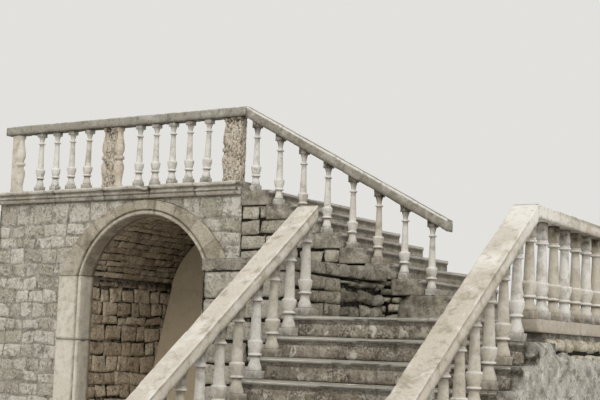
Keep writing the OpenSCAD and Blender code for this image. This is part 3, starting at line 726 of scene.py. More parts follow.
# ---------------- rails
def rail(name, node, start, direction, length, seed, grey=False, tone=0.6, edge=0.35, broad=False, patches=()):
    """A worn handrail from start along direction, with its ends cut upright. Its top arrises carry a painted highlight
    by edge, over more of its sides if broad, and its top gets pale patches of (place along, width, amount, least place
    across)."""
    shell = Shell()
    half, thick, soft = 65.0 if grey else 107.5, RAIL_THICK, 12.0
    pts = [(-half, -thick), (half, -thick), (half, -40), (half, -24)]
    pts += arc(half - soft, -soft, soft, 0, 90, 4) + arc(-half + soft, -soft, soft, 90, 180, 4)
    pts = sampled(pts, 22)
    start, d = np.array(start), np.array(direction, float)
    d /= np.linalg.norm(d)
    side = np.cross(d, (0, 0, 1))
    side /= np.linalg.norm(side)
    up = np.cross(side, d)
    level = np.array([d[0], d[1], 0.0])
    level /= np.linalg.norm(level)
    slope = np.dot(d, level)
    rings = []
    for s in np.linspace(0, length, int(length / 26) + 2):
        ring = start + d * s + pts[:, :1] * side + pts[:, 1:] * up
        rings.append(ring + d * ((s * slope - np.dot(ring - start, level)) / slope)[:, None])
    co, faces = tube(rings, (0.8, 0.45))
    local = co - start
    along, across, high = local @ d, local @ side, local @ up
    out = np.abs(across)
    corner = ((out > half - 16) & ((high > -18) | (high < -thick + 14))).astype(float)
    # Painted shade on the rail's underside.
    underside_shade = unit((-high - 60) / 40)
    seam = 0.85 * peak(high, -17, 8) * (out > half - 3) * (not grey)
    dirt_and_shade = highest(0.9 * underside_shade * (out < half - 4), (0.6 if grey else 0.3) * underside_shade, seam)
    # Painted highlight along the top arrises, wider if broad; the patches are real bleaching.
    band = peak(high, -4, 6) * (out > half - 14)
    if broad:
        band = np.maximum(band, unit((high + 22) / 8) * (out > half - 14))
    pale_patches_and_highlight = band * edge
    for at, width, amount, least in patches:
        pale_patches_and_highlight = pale_patches_and_highlight + amount * peak(along, at, width) * (across > least)
    shell.add(worn(co, faces, seed, 3.0, 600, 1.4, 7.0, 60, corner), faces, tone, dirt_and_shade, pale_patches_and_highlight)
    piece(name, shell, "terrace_rail_stone" if grey else "rail_limestone", "rail_stone", node)


def lower_rail(side, x, y0, seed, tone, **looks):
    start = (x, y0, LANDING + LOWER_TOP + (y0 - FIRST_Y) * LOWER_SLOPE)
    length = (y0 - LOWER_END) / math.cos(math.atan(LOWER_SLOPE))
    rail("rail_lower_" + side, "lower_rail_" + side, start, (0, -1, -LOWER_SLOPE), length, seed, tone=tone, **looks)


rail("rail_terrace", "terrace_rail", (X_END + 12, 0, RAIL_Z), (1, 0, 0), X_CORNER - X_END - 12, 400, True)
rail("rail_run", "run_rail", (X_RIGHT, RUN_JOIN, LANDING + RUN_TOP - (RUN_JOIN - FIRST_Y) * RUN_SLOPE),
     (0, 1, -RUN_SLOPE), (BACK_Y - RUN_JOIN) * math.hypot(1, RUN_SLOPE), 410, tone=0.3,
     patches=((0, 700, 0.9, -math.inf),))
rail("rail_upper", "upper_rail", (X_CORNER, 0, RAIL_Z), (1, 0, -RAIL_SLOPE),
     (UPPER_RAIL_END - X_CORNER) * math.hypot(1, RAIL_SLOPE), 420, True, 0.35, 1.0, True)
lower_rail("left", 0.0, FIRST_Y + 5, 430, 0.75)
lower_rail("right", X_RIGHT, RUN_JOIN, 440, 0.55, edge=0.05, patches=((0, 330, 1.1, -math.inf), (760, 110, 0.8, -60)))


# ---------------- steps
def step(name, node, to_frame, depth, rise, length, seed, joints, rough_ends, upper=False, hollow=None):
    """One step made of blocks. to_frame maps (along, forward, up) arrays to the working frame."""
    shell = Shell()
    rng = np.random.default_rng(seed)
    sag, riser_dirt, tone, highlight_strength = (9.0, 0.45, 0.45, 1.4) if upper else (14.0, 0.52, 0.5, 2.4)
    pts = [(12, 0), (depth, 0), (depth, rise), (22, rise), *arc(14, rise - 14, 14, 90, 180, 5)[1:]]
    pts = sampled(pts + [(0, rise - 24), (2, rise - 40), (12, rise - 50)], 24)
    cuts = [0.0] + [length * j for j in joints] + [length]
    low, high = (to_frame(*[np.array([v]) for v in p])[0] for p in ((0, 0, 0), (length, depth, rise)))
    lo, hi = np.minimum(low, high), np.maximum(low, high)
    for a, b in pairwise(cuts):
        a2, b2 = a + (0.6 if a > 0 else 0), b - (0.6 if b < length else 0)
        along = np.linspace(a2, b2, max(4, int((b2 - a2) / 30)))
        if hollow and a == 0:
            along = np.concatenate([[0, 12, 24], along[1:]])
        block = [np.column_stack([np.full(len(pts), s), pts]) for s in along]
        co, faces = tube(block, (0.85, 0.6, 0.25))
        s, f, h = co.T
        q = co + seed * 313.0
        drop_block = rng.uniform(0, 1)
        top = h > rise - 20
        nose = unit(1 - f / 40) * unit((h - rise + 60) / 30)
        h2 = h - (h / rise) * (drop_block + sag * peak(s / length, 0.47, 0.2) * np.exp(-f / 160) * top)
        h2 = h2 - np.where(top, 2.2 * swell(q, 150, seed), 0)
        f2 = f + nose * (2.5 + 5.5 * unit(fbm(q, 90, seed + 2)) + 8 * unit(fbm(q, 45, seed + 3) - 0.35))
        face = (f < 14) & (h < rise - 30)
        f2 = f2 + np.where(face, 1.5 + 5.0 * swell(q, 70, seed + 4) + 2 * noise(q, 18, seed + 5), 0)
        s2 = s
        for r, end, here, sign in ((rough_ends[0], 0.0, a, 1), (rough_ends[1], length, b, -1)):
            if r and abs(end - here) < 1:
                near = unit(1 - np.abs(s - end) / (3 * r))
                ragged = 0.55 + 0.55 * fbm(q, 110, seed + 6) + 0.2 * noise(q, 24, seed + 7)
                s2 = s2 + sign * near * r * ragged
        if rough_ends[1] and b == length:
            f2 = f2 + 55 * unit((s - length + 60) / 60) ** 2 * unit(1 - f / 120)
        end_face = ((s < 1) | (s > length - 1)) * (0.3 + 0.4 * unit(fbm(q, 120, seed + 9)))
        if hollow:
            gap = hollow(f, h) * unit(1 - s / 90)
            s2 = s2 + 70 * gap
            end_face = np.maximum(end_face, gap)
        new = np.clip(to_frame(s2, f2, h2), lo, hi)
        if volume(new, faces) < 0:
            faces = [x[:, ::-1] for x in faces]
        riser = unit((rise - 12 - h) / 9) * (f < 30)
        streak = 0.65 + 0.5 * fbm(q * [1, 1, 0.35], 160, seed + 8)
        dirt_and_shade = unit(highest(riser * riser_dirt * streak, end_face, unit((f - 150) / 100) * 0.35))
        fade = 1 if upper else np.clip((X_RIGHT - 88 - STEP_X0 - s) / 90, 0.1, 1)  # painted shadow of the right rail over the nosing highlight
        # Painted highlight along the top of the nosing.
        edge = (f < 24) * unit((h - rise + 34) / 8) * (0.8 + 0.4 * noise(q, 60, seed + 12)) * fade
        shell.add(new, faces, unit(tone + rng.uniform(-0.07, 0.07) + 0.2 * nose), dirt_and_shade, highlight_strength * edge)
    piece(name, shell, "upper_tread_stone" if upper else "tread_stone", "tread_stone", node)


def first_step_hollow(f, h):
    return unit((f - 400) / 130) * unit((h - 130) / 120)


for n in range(1, LOWER_STEPS + 1):
    rng = np.random.default_rng(500 + n)
    joints = sorted([rng.uniform(0.3, 0.42), rng.uniform(0.62, 0.75)]) if n % 2 else [rng.uniform(0.42, 0.6)]
    node, end, rough = ("landing_step", COPING_X0, 0.0) if n == LOWER_STEPS else ("lower_step_%d" % n, STEP_END, 14.0)
    step("step_lower_%02d" % n, node,
         lambda s, f, h, y0=nose_y(n), z0=(n - 1) * RISER: np.stack([STEP_X0 + s, y0 + f, z0 + h], -1),
         GOING + BEARING, RISER, end - STEP_X0, 500 + n, joints, (12.0, rough))
for k in range(1, UPPER_STEPS + 1):
    nose = UPPER_NOSE_X - (k - 1) * UPPER_GOING
    depth = UPPER_GOING + (FIRST_TAIL if k == 1 else BEARING) if k < UPPER_STEPS else nose - X_CORNER
    step("step_upper_%02d" % k, "upper_step_%d" % k,
         lambda s, f, h, nose=nose, low=upper_top(k - 1): np.stack([nose - f, FACE_Y - 12 + s, low + h], -1),
         depth, FIRST_RISER if k == 1 else UPPER_RISER, BACK_Y - FACE_Y + 12, 540 + k, [0.3 + 0.05 * (k % 3), 0.68],
         (20.0, 0.0), True, first_step_hollow if k == 1 else None)


# ---------------- terrace walls
def opening(z, half, r):
    """A wall's cut for an arch of radius r about height z: what lies inside moves to its edge."""
    def cut(U, V):
        dx, dz = U - ARCH_X, V - z
        low, away = V < IMPOST, np.hypot(dx, dz)
        inside = np.where(low, np.abs(dx) < half, away < r)
        scale = np.where(inside & ~low, r / np.maximum(away, 1), 1)
        U2 = np.where(inside & low, ARCH_X + np.sign(dx) * half, ARCH_X + dx * scale)
        return ~inside, U2, np.where(low, V, z + dz * scale)
    return cut


def front_dirt_and_shade(p):
    """Painted shade under the cornice, and damp near the ground."""
    z = p[..., 2]
    return highest(0.1 * unit((z - CORNICE_Z + 84) / 80), 0.4 * unit(1 - z / 420)) + 0.12 * unit(fbm(p, 500, 3))


front, back = facing_y(FACE_Y, -1), facing_y(BACK_Y, 1)
coursed = dict(relief=18.0, bed=22.0, drop=12.0, edge=17.0, wobble=20.0, jitter=18.0, stand=7.0, gap=11.0,
               tones=(0.05, 1.0), mortar_tone=0.5, mortar_dirt=0.42, dirt_and_shade=front_dirt_and_shade)
far = dict(coursed, cell=30, mortar_tone=0.2, mortar_dirt=1.0)
shell = Shell()
wall(shell, front, (X_END, X_CORNER, 0, CORNICE_Z), 11, (125, 170), (170, 330),
     cut=opening(OUTER_Z, OUTER_HALF, OUTER_R), cell=20, **coursed)
for a, b in ((X_END + 30, ARCH_X - OUTER_HALF - 1), (ARCH_X + OUTER_HALF + 1, X_CORNER)):
    fill(shell, (a, FACE_Y + 30, 0.5), (b, KERB_BACK - 1, IMPOST - 1))
fill_over_arch(shell, X_END + 30, OUTER_Z, OUTER_R, OUTER_HALF, CORNICE_Z - 1, FACE_Y + 30, KERB_BACK - 1)
piece("terrace_front_stones", shell, "wall_limestone", "wall_stone", "terrace_wall", "terrace_spandrel")

shell = Shell()
wall(shell, facing_x(X_END, -1), (FACE_Y, BACK_Y, 0, FLOOR_Z - SLAB), 12, (125, 170), (170, 330), **far)
wall(shell, back, (X_END, X_CORNER, 0, FLOOR_Z - SLAB), 13, (130, 175), (190, 360),
     cut=opening(ARCH_Z, HALF_SPAN, ARCH_R), **far)
for a, b in ((X_END + 30, ARCH_X - HALF_SPAN - 44), (ARCH_X + HALF_SPAN + 30, X_CORNER)):
    fill(shell, (a, KERB_BACK + 1, 0.5), (b, BACK_Y - 30, IMPOST - 1))
piece("terrace_side_stones", shell, "wall_limestone", "wall_stone", "passage_walls")


# ---------------- recess under the terrace
def recess_shade(p):
    """Painted shade, darker to the back, and a band of painted shadow where the vault springs."""
    return unit(0.02 + 0.14 * (p[..., 1] - KERB_BACK) / 900 + 0.6 * peak(p[..., 2], IMPOST - 35, 50))


# Painted shade deepening to the back of the vault, over an even soiling.
def vault_dirt_and_shade(p):
    return unit(0.1 + 0.3 * (p[..., 1] - KERB_BACK) / 1100)


def vault_map(u, v, h):
    """The vault's underside, with u along it and v round it."""
    a, r = SPRING + v / ARCH_R, ARCH_R - h
    return np.stack([ARCH_X + r * np.cos(a), u, ARCH_Z + r * np.sin(a)], -1)


shell = Shell()
inner = (KERB_BACK, BACK_Y - 60, 0, IMPOST - 22)
wall(shell, facing_x(ARCH_X - HALF_SPAN, 1), inner, 14, (100, 190), (140, 300), gap=14, bed=30, relief=16, drop=15,
     edge=20, wobble=24, jitter=18, stand=9, tones=(0.1, 0.9), dirt_and_shade=recess_shade, mortar_tone=0.0, mortar_dirt=0.85,
     cell=20)
wall(shell, facing_x(ARCH_X + HALF_SPAN, -1), inner, 15, (120, 210), (150, 320), gap=15, bed=22, relief=9, drop=9,
     tones=(0.1, 0.9), dirt_and_shade=recess_shade, mortar_tone=0.1, mortar_dirt=0.75, cell=50)
reach = math.sqrt((ARCH_R + 32) ** 2 - (IMPOST - ARCH_Z) ** 2)
fill_over_arch(shell, X_END + 26, ARCH_Z, ARCH_R + 32, reach, FLOOR_Z - SLAB - 1, KERB_BACK + 1, BACK_Y - 26)
wall(shell, vault_map, (KERB_BACK, BACK_Y - 60, 0, (math.pi - 2 * SPRING) * ARCH_R), 16, (55, 95), (150, 340), gap=9,
     bed=24, relief=10, drop=7, edge=8, wobble=14, tones=(0.0, 0.8), dirt_and_shade=vault_dirt_and_shade, mortar_tone=0.0,
     mortar_dirt=1.0, cell=26, stand=14, jitter=9)
piece("recess_vault_stones", shell, "vault_stone", "wall_stone", "passage_vault")

recess_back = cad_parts["passage_back"].data
for i in range(len(recess_back.materials)):
    recess_back.materials[i] = STONE["recess_plaster"]
if not recess_back.materials:
    recess_back.materials.append(STONE["recess_plaster"])


# ---------------- arch ring and jambs
def dressed(width, last, bevel, side):
    """Outline of the dressed stones as (away from the opening, forward), with a roll on the edge."""
    f = -DRESSED_Y
    pts = [(0, -KERB_BACK), (0, -60), (0, 0), (0, f - 45), *arc(25, f - 25, 25, 180, 0, 10)]
    pts += [(51, f - 12), (56, f - 11), (ROLL_END, f)]
    pts += [(ROLL_END + (width - ROLL_END) * t, f) for t in (0.12, 0.3, 0.5, 0.7, 0.88, last)]
    return pts + [(width, f - bevel), (width, side), (width, -KERB_BACK)]


shell = Shell()
sweep = (math.pi - 2 * SPRING) / 9
low = math.atan2(IMPOST - ARCH_Z, OUTER_HALF)
rise = OUTER_Z - ARCH_Z
rings = []
for angle in np.linspace(low, math.pi - low, 133):
    c, s = math.cos(angle), math.sin(angle)
    width = s * rise + math.sqrt((s * rise) ** 2 - rise ** 2 + (OUTER_R - 0.5) ** 2) - ARCH_R
    rings.append([[ARCH_X + (ARCH_R + r) * c, -f, ARCH_Z + (ARCH_R + r) * s] for r, f in dressed(width, 0.97, 5, 45)])
co, faces = tube(rings, (0.8, 0.4))
around = np.arctan2(co[:, 2] - ARCH_Z, co[:, 0] - ARCH_X)
radius = np.hypot(co[:, 0] - ARCH_X, co[:, 2] - ARCH_Z)
away = radius - ARCH_R
joint = highest(*[(1.0 if i == 4 else 0.25) * peak((around - SPRING - i * sweep) * radius, 0, 7) for i in range(1, 9)])
new = worn(co, faces, 600, 3.0, 140, 1.2, 5.0, 55, unit(1 - away / 55))
new[:, 1] += 5 * joint
new[:, 2] = np.maximum(new[:, 2], IMPOST + 1)
streak = 0.4 * unit(fbm(new * [1, 1, 0.2], 110, 612))
# Painted shade on the soffit going back into the opening; below, painted shade in the quirk beside the roll, with real
# streaks and dark joints.
soffit_shade = 0.3 * unit((co[:, 1] - DRESSED_Y) / 60)
shell.add(new, faces, 0.5 + 0.3 * np.sin(np.floor((around - SPRING) / sweep) * 2.4),
          unit(0.7 * peak(away, 53, 5) + soffit_shade + streak + 0.7 * joint),
          # Painted highlight on the front of the roll.
          0.5 * peak(away, 20, 9) * (co[:, 1] < DRESSED_Y + 9))
piece("arch_ring_stones", shell, "arch_limestone", "dressed_stone", "arch_ring")

# the tones go on with the draws of the last lower step
shell = Shell()
for side, levels in ((-1, (0, 560, 1675, IMPOST - 1)), (1, (0, 620, 1190, 1760, IMPOST - 1))):
    for i, (z0, z1) in enumerate(pairwise(levels)):
        rings = [[[ARCH_X + side * (HALF_SPAN + r), -f, z] for r, f in dressed(JAMB, 0.98, 6, -60)]
                 for z in np.linspace(z0 + 1.5, z1 - 1.5, 22)]
        co, faces = tube(rings, (0.8, 0.4))
        joint = unit(1 - np.minimum(np.abs(co[:, 2] - z0), np.abs(co[:, 2] - z1)) / 14)
        away = np.abs(co[:, 0] - ARCH_X) - HALF_SPAN
        new = worn(co, faces, 620 + i + 10 * side, 2.5, 150, 0.9, 6.0, 60, unit(1 - away / 50) + joint)
        new[:, 2] = np.maximum(new[:, 2], 0.3)
        # Painted shade in the quirk beside the roll and in the reveal going back; the darker joints are real.
        dirt_and_shade = 0.8 * peak(away, 53, 5) + 0.5 * joint ** 3 + 0.3 * (co[:, 1] > -60)
        shell.add(new, faces, rng.uniform(0.3, 0.95), unit(dirt_and_shade))
piece("arch_jamb_stones", shell, "jamb_limestone", "dressed_stone", "arch_jambs")

# ---------------- cornice and terrace floor
shell = Shell()
BREAK_X = -3150.0
out, mid, low = FACE_Y - 75, FACE_Y - 50, FACE_Y - 25
profile = [(KERB_BACK, 0), (low, 0), *arc(low + 4, 30, 18, 200, 110, 5), (mid + 10, 46), (mid, 50), (mid, 78)]
profile += [(mid + 9, 88), (mid + 9, 96), (out + 6, 100), *arc(out + 10, 112, 10, 200, 180, 2)]
pts = sampled(profile + [*arc(out + 12, 133, 12, 180, 90, 4), (KERB_BACK, 145)], 15)
cuts = [X_END, X_END + 905, X_END + 1640, X_END + 2275, X_END + 2890, X_CORNER]
rng = np.random.default_rng(31)
for i, (a, b) in enumerate(pairwise(cuts)):
    xs = np.linspace(a + (2 if i else 0), b - (2 if b < X_CORNER else 0), int((b - a) / 24))
    if b == X_CORNER:
        xs = np.concatenate([xs[xs < b - 56], b - np.array([54.0, 51, 49, 29, 26, 24, 8, 3, 0])])
    rings = []
    for x in xs:
        proud = FACE_Y - pts[:, 0]
        gone = (proud > 0) & (x > X_CORNER - (75 - proud))
        softer = np.where(proud > 60, np.clip(14 - (X_CORNER - x), 0, 14), 0)
        y = np.where(gone, FACE_Y, pts[:, 0] + softer)
        rings.append(np.column_stack([np.full(len(pts), x), y, CORNICE_Z + pts[:, 1]]))
    co, faces = tube(rings, (0.8, 0.4))
    level = co[:, 2] - CORNICE_Z
    fore = unit((-co[:, 1] - 90) / 60)
    end = unit(1 - np.minimum(np.abs(co[:, 0] - a), np.abs(co[:, 0] - b)) / 70)
    new = worn(co, faces, 650 + i, 3.0, 160, 1.4, 12.0, 60, fore * (0.6 + 1.6 * end))
    new[:, 2] -= rng.uniform(0, 4) * (level > 60)
    broken = peak(co[:, 0], BREAK_X, 55) * unit((level - 60) / 50) * fore
    new[:, 1] += 60 * broken * (0.7 + 0.5 * noise(co, 30, 659))
    new[:, 2] -= 26 * broken
    new[:, 0] = np.maximum(new[:, 0], X_END + 0.5)
    # Painted shadow lines under the two projecting fillets and painted shade along the underside; also darker at the
    # back, at joint ends, in the break and in blotches.
    dirt_and_shade = highest(0.6 * peak(level, 92, 8) * fore, 0.55 * peak(level, 46, 6) * fore, 0.3 * (level < 6),
                   0.3 * (co[:, 1] > 60))
    dirt_and_shade = dirt_and_shade + 0.3 * end ** 6 + 0.9 * broken + 0.45 * unit(fbm(co, 260, 658)) * fore
    lip = peak(level, 138, 7) * (np.abs(co[:, 1] - out) < 12)
    shell.add(new, faces, rng.uniform(0.3, 0.9), unit(dirt_and_shade), 0.85 * lip)
piece("terrace_kerb_stones", shell, "cornice_stone", "dressed_stone", "terrace_cornice")

shell = Shell()
flags = dict(heights=(330, 470), lengths=(380, 640), gap=6, bed=5, relief=2.0, drop=2.0, edge=7, wobble=3, jitter=2,
             stand=1.5, mortar_dirt=0.4, mortar_tone=0.2)
edge_course = dict(heights=(SLAB, SLAB), lengths=(380, 640), gap=5, bed=6, relief=2.5, drop=3, wobble=0)
wall(shell, facing_up(FLOOR_Z), (X_END, X_CORNER, KERB_BACK, BACK_Y), 17, **flags)
wall(shell, facing_x(X_END, -1), (KERB_BACK, BACK_Y, FLOOR_Z - SLAB, FLOOR_Z), 18, **edge_course)
wall(shell, back, (X_END, X_CORNER, FLOOR_Z - SLAB, FLOOR_Z), 19, **edge_course)
piece("terrace_paving", shell, "paving_stone", "tread_stone", "terrace_floor")

# ---------------- upper flight's wall
ROUGH_X = -620.0  # from here on the flight's wall lies bare and broken below the first steps
shell = Shell()
rubble = dict(relief=15.0, drop=16.0, edge=20.0, gap=17.0, bed=30.0, wobble=16, jitter=14, stand=14, cell=30,
              mortar_tone=0.0, mortar_dirt=1.6, tones=(0.15, 1.0))
broken = dict(rubble, mortar_dirt=2.6, bed=70.0, gap=24.0, relief=24.0, drop=40.0, edge=44.0, jitter=20, stand=22,
              cell=20, wobble=14)
wall(shell, front, (X_CORNER, STEP_X0, 0, LANDING), 22, (120, 190), (170, 380), dirt_and_shade=front_dirt_and_shade)
for k in range(1, UPPER_STEPS):
    z0, z1 = upper_top(k - 1), upper_top(k)
    x1 = UPPER_NOSE_X - k * UPPER_GOING - (FIRST_TAIL if k == 1 else BEARING)
    if x1 - X_CORNER < 40:
        break
    rough = min(x1, ROUGH_X) if k <= 2 else x1
    wall(shell, front, (X_CORNER, rough, z0, z1), 23 + k, (120, 160) if k > 1 else (95, 125), (150, 330), **rubble)
    if rough < x1:
        wall(shell, front, (rough, x1, z0, z1), 33 + k, (70, 110) if k > 1 else (80, 130), (110, 230), **broken)
    fill(shell, (X_CORNER + 1, FACE_Y + 74, z0), (x1 - 1, BACK_Y - 30, z1 - 1), 0.0, 1.0)
    wall(shell, back, (X_CORNER, x1, z0, z1), 43 + k, (150, 160) if k > 1 else (110, 130), (200, 360), **far)
wall(shell, back, (X_CORNER, STEP_X0, 0, LANDING), 60, (130, 180), (200, 360), **far)
fill(shell, (X_CORNER + 1, FACE_Y + 40, 0.5), (STEP_X0 - 1, BACK_Y - 30, LANDING))
piece("upper_flight_wall_stones", shell, "rubble", "wall_stone", "upper_flight_wall")

# ---------------- side block beside the landing
shell = Shell()
block_side, block_top, loose_y = facing_x(STEP_X0, 1), BLOCK_Z - CAP, -900
big = dict(heights=(182, 194), lengths=(330, 560), gap=16, bed=32, relief=22, drop=15, edge=20, wobble=10, jitter=12,
           stand=8, cell=22, tones=(0.3, 1.0), mortar_dirt=1.5)
wall(shell, facing_y(BLOCK_Y0, -1), (BLOCK_X0, STEP_X0, 0, block_top), 71, **big)
wall(shell, facing_x(BLOCK_X0, -1), (BLOCK_Y0, FACE_Y, 0, block_top), 72, **big)
wall(shell, block_side, (BLOCK_Y0, loose_y, LANDING, block_top), 73, (110, 150), (200, 360), gap=18, bed=40, relief=16,
     drop=16, edge=20, jitter=14, stand=14, cell=24, wobble=16, mortar_tone=0.0, mortar_dirt=2.2, tones=(0.0, 0.6))
wall(shell, block_side, (loose_y, FACE_Y, LANDING, block_top), 74, (112, 160), (150, 280), bed=76, gap=34,
     relief=26, drop=36, edge=34, jitter=22, stand=26, cell=19, wobble=18, mortar_tone=0.0, mortar_dirt=2.6,
     tones=(0.0, 0.7), dirt_and_shade=lambda p: 0.35 + 0.3 * fbm(p, 150, 75))
fill(shell, (BLOCK_X0 + 34, BLOCK_Y0 + 34, 0.5), (STEP_X0 - 74, FACE_Y - 1, block_top - 1), 0.0, 1.0)
piece("side_block_stones", shell, "side_rough_stone", "wall_stone", "side_block")


def slab(shell, lo, hi, seed, amp, size, chip, tone, dirt_and_shade, soft, fine, cell=22):
    """A rough block between two corners, worn inside them."""
    lo, hi = np.array(lo, float), np.array(hi, float)
    hx, hy, hz = (hi - lo) / 2
    pts = sampled(rounded(hx, hy, soft), cell)
    zs = [-hz, *np.linspace(-hz + soft * 0.7, hz - soft * 0.7, max(2, int(2 * hz / cell))), hz]
    shrink = [1 - soft * 0.5 / min(hx, hy) if abs(z) > hz - 1 else 1 for z in zs]
    rings = [np.column_stack([pts * k, np.full(len(pts), z)]) for z, k in zip(zs, shrink)]
    co, faces = tube(rings, np.linspace(0.9, 0.1, max(3, int(min(hx, hy) / cell))))
    corner = (np.abs(co) > np.array([hx, hy, hz]) - soft - 2).sum(1) >= 2
    co = worn(co + (lo + hi) / 2, faces, seed, amp, size, fine, chip, 60, corner.astype(float))
    shell.add(co, faces, tone, dirt_and_shade(co))


shell = Shell()
rng = np.random.default_rng(74)
for i, (a, b) in enumerate(((BLOCK_Y0 - 6, -1180), (-1176, -640), (-636, FACE_Y))):
    slab(shell, (BLOCK_X0 - 6, a, block_top), (STEP_X0, b, BLOCK_Z), 700 + i, 11, 80, 22, rng.uniform(0.1, 0.5),
         lambda p: 0.25, soft=14, fine=3.0)
piece("side_block_cap_stones", shell, "side_rough_stone", "wall_stone", "side_block_cap")

# ---------------- lower flight's core and landing
TURN_Z = 1635.0
FIRST_END, LAST_END = nose_y(1) + 14, nose_y(LOWER_STEPS) + 14


def side_map(base):
    """The stair's right side: upright to TURN_Z, then leaning in under the coping."""
    def fmap(u, v, h):
        t = unit((v - TURN_Z) / 190) * unit((u - LANDING_BACK + 160) / 160)
        turn = np.minimum(t * 4, 1)
        return np.stack([base - 79 * t + h * (1 - 0.08 * turn), u, v + 0.38 * h * turn], -1)
    return fmap


def plaster_sheet(shell, fmap):
    """Rough render over the stones, from the ends of the steps to the back, gone above a ragged line under the
    coping."""
    along = [*np.arange(FIRST_END, LAST_END - 1, GOING / 13), *np.arange(LAST_END, BACK_Y, 17.6), BACK_Y]
    U, V = np.meshgrid(along, np.arange(0, 1806, 17.5), indexing="ij")
    flight = U < LAST_END
    fore = nose_y(np.clip(np.ceil(V / RISER - 1e-6), 1, 10)) + 14
    top = np.minimum(np.floor((U - FIRST_END + 1e-6) / GOING) + 1, 10) * RISER
    q = np.stack([U, V, np.zeros_like(U)], -1)
    ragged = 1655 + 55 * fbm(q * [1, 0, 1], 420, 5) + 30 * fbm(q, 110, 6)
    line = np.where(U < LANDING_BACK - 60, 1750, ragged)
    kept = (U > fore + 1) & (V < np.minimum(top, line) - 1) & (V < 1790)
    p = fmap(U, V, np.zeros_like(U))
    ends = unit(1.6 - (U - fore) / 90) * (U < LAST_END + 120)
    H = -5 - 13 * swell(p, 330, 41) - 12 * swell(p, 90, 42) - 6 * noise(p, 36, 45) - 3 * noise(p, 19, 47)
    H = H - 10 * ends * swell(p, 60, 48) - 30 * unit(1 - (U - fore) / 60) ** 2
    H = H - 26 * unit(1 - (top - V) / 50) ** 2 * flight - 16 * unit(1 - (line - V) / 45)
    dirt_and_shade = 0.2 * unit(fbm(p, 240, 44)) + 0.5 * unit(2 * fbm(p, 70, 46) - 0.25) + 0.3 * unit(1 - p[..., 2] / 300)
    dirt_and_shade = dirt_and_shade + 0.75 * ends * (0.8 + 0.5 * fbm(p, 120, 49))
    skin(shell, fmap, handed(fmap, 0.0, 1000.0), U, V, np.clip(H, -86, -0.5), 0.55 + 0.45 * fbm(p, 300, 43),
         unit(dirt_and_shade), kept, 92)


shell = Shell()
for n in range(1, LOWER_STEPS):
    y0, z0, z1 = nose_y(n + 1) + BEARING, (n - 1) * RISER, n * RISER
    wall(shell, facing_x(CORE_X0, -1), (y0, LANDING_BACK, z0, z1), 80 + n, (150, 175), (180, 420), relief=9, drop=9,
         gap=11, bed=18, cell=40, edge=14, mortar_dirt=0.5)
    fill(shell, (CORE_X0 + 28, y0 + 1, z0 + 0.5), (CORE_X1 - 32, LANDING_BACK - 1, z1 - 1))
piece("lower_flight_core_stones", shell, "side_rough_stone", "wall_stone", "lower_core")

shell = Shell()
wall(shell, side_map(CORE_X1 - 4), (LANDING_BACK, BACK_Y, TURN_Z - 35, LANDING - SLAB + 1), 120, (84, 108),
     (120, 220), gap=30, bed=60, relief=18, drop=26, edge=28, wobble=16, jitter=12, stand=16, cell=12,
     tones=(0.15, 1.0), mortar_dirt=2.6, mortar_tone=0.0)
piece("landing_wall_stones", shell, "bare_stone_under_coping", "wall_stone", "landing_wall")

shell = Shell()
plaster_sheet(shell, side_map(STEP_X1 - 4))
fill(shell, (STEP_X0, LANDING_BACK + 1, 0.5), (CORE_X1 - 44, BACK_Y - 30, TURN_Z))
fill(shell, (STEP_X0, LANDING_BACK + 1, TURN_Z), (COPING_X1 - 58, BACK_Y - 30, LANDING - SLAB - 1))
wall(shell, back, (STEP_X0, CORE_X1, 0, TURN_Z), 121, (130, 180), (200, 360), **far)
piece("landing_wall_face", shell, "rough_plaster", "wall_stone", "landing_wall", "landing_core", "lower_core")

shell = Shell()
wall(shell, facing_up(LANDING), (STEP_X0, COPING_X0, LANDING_BACK, BACK_Y), 122, **flags)
wall(shell, back, (STEP_X0, COPING_X0, LANDING - SLAB, LANDING), 123, **edge_course)
piece("landing_paving", shell, "paving_stone", "tread_stone", "landing_slab")

shell = Shell()
rng = np.random.default_rng(75)
cuts = [NOSE_Y, -1010, -190, 720, BACK_Y]
for i, (a, b) in enumerate(pairwise(cuts)):
    slab(shell, (COPING_X0, a, LANDING - SLAB), (COPING_X1, b - 3 * (b < BACK_Y), LANDING), 720 + i, 3, 120, 7,
         rng.uniform(0.4, 0.8), lambda p: 0.05 + 0.2 * (p[:, 1] < NOSE_Y + 22), soft=11, fine=1.0)
piece("run_coping_stones", shell, "coping_stone", "dressed_stone", "run_coping")

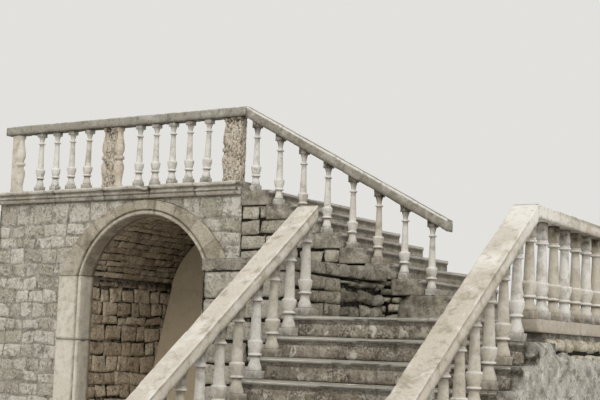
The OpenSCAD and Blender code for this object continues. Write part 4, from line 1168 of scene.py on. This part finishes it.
# ---------------- camera, floor, light
FOCAL, PHOTO_WIDTH, SENSOR = 1316.8, 600, 36  # the first two in pixels
yaw, pitch, roll = 0.57996, 0.11588, 0.03441  # radians
look = Vector((-math.sin(yaw) * math.cos(pitch), math.cos(yaw) * math.cos(pitch), math.sin(pitch)))
level_right = Vector((math.cos(yaw), math.sin(yaw), 0))
level_up = level_right.cross(look)
right = math.cos(roll) * level_right + math.sin(roll) * level_up
up = math.cos(roll) * level_up - math.sin(roll) * level_right
camera = bpy.data.cameras.new("photo_camera")
camera.sensor_width, camera.lens = SENSOR, FOCAL * SENSOR / PHOTO_WIDTH
camera.clip_start, camera.clip_end = 0.1, 300
cam = placed("photo_camera", camera)
cam.matrix_world = Matrix.Translation((7.5531, -9.6988, 1.6103)) @ Matrix((right, up, -look)).transposed().to_4x4()
bpy.context.scene.camera = cam

floor_mesh = bpy.data.meshes.new("studio_floor")
floor_mesh.from_pydata([(x, y, -0.002) for x, y in ((-60, -60), (60, -60), (60, 60), (-60, 60))], [], [(0, 1, 2, 3)])
floor = placed("studio_floor", floor_mesh)
floor_mat = bpy.data.materials.new("studio_floor")
floor_mat.use_nodes = True
floor_shader = floor_mat.node_tree.nodes["Principled BSDF"]
floor_shader.inputs["Base Color"].default_value = linear("dedcd8")
floor_shader.inputs["Roughness"].default_value = 0.95
floor_mesh.materials.append(floor_mat)

world = bpy.data.worlds.new("studio")
bpy.context.scene.world = world
world.use_nodes = True
world.node_tree.nodes.clear()


def world_node(kind, *values):
    """A node of the world, with values or other nodes' sockets for its inputs. Gives its outputs."""
    node = world.node_tree.nodes.new("ShaderNode" + kind)
    if kind == "Math":
        node.operation = "MAXIMUM"
    for value, socket in zip(values, node.inputs):
        if isinstance(value, bpy.types.NodeSocket):
            world.node_tree.links.new(value, socket)
        else:
            socket.default_value = value
    return node.outputs


def sun(name, toward, strength, angle, color):
    data = bpy.data.lights.new(name, "SUN")
    data.energy, data.angle, data.color = strength, math.radians(angle), color
    obj = placed(name, data)
    obj.rotation_mode = "QUATERNION"
    obj.rotation_quaternion = Vector(toward).to_track_quat("-Z", "Y")


ray = world_node("LightPath")
seen = world_node("Math", ray["Is Camera Ray"], ray["Is Glossy Ray"])
seen = world_node("Math", seen[0], ray["Is Transmission Ray"])
lit = world_node("Background", (1.0, 0.99, 0.97, 1), 0.62)
shown = world_node("Background", linear("e2e1de"), 1.0)
world_node("OutputWorld", world_node("MixShader", seen[0], lit[0], shown[0])[0])
sun("key_light", (-0.34, 0.96, -0.88), 0.95, 60, (1.0, 0.98, 0.94))
sun("fill_light", (-0.95, 0.75, -0.25), 1.35, 70, (1.0, 0.99, 0.98))

bpy.context.scene.view_settings.view_transform = "Standard"
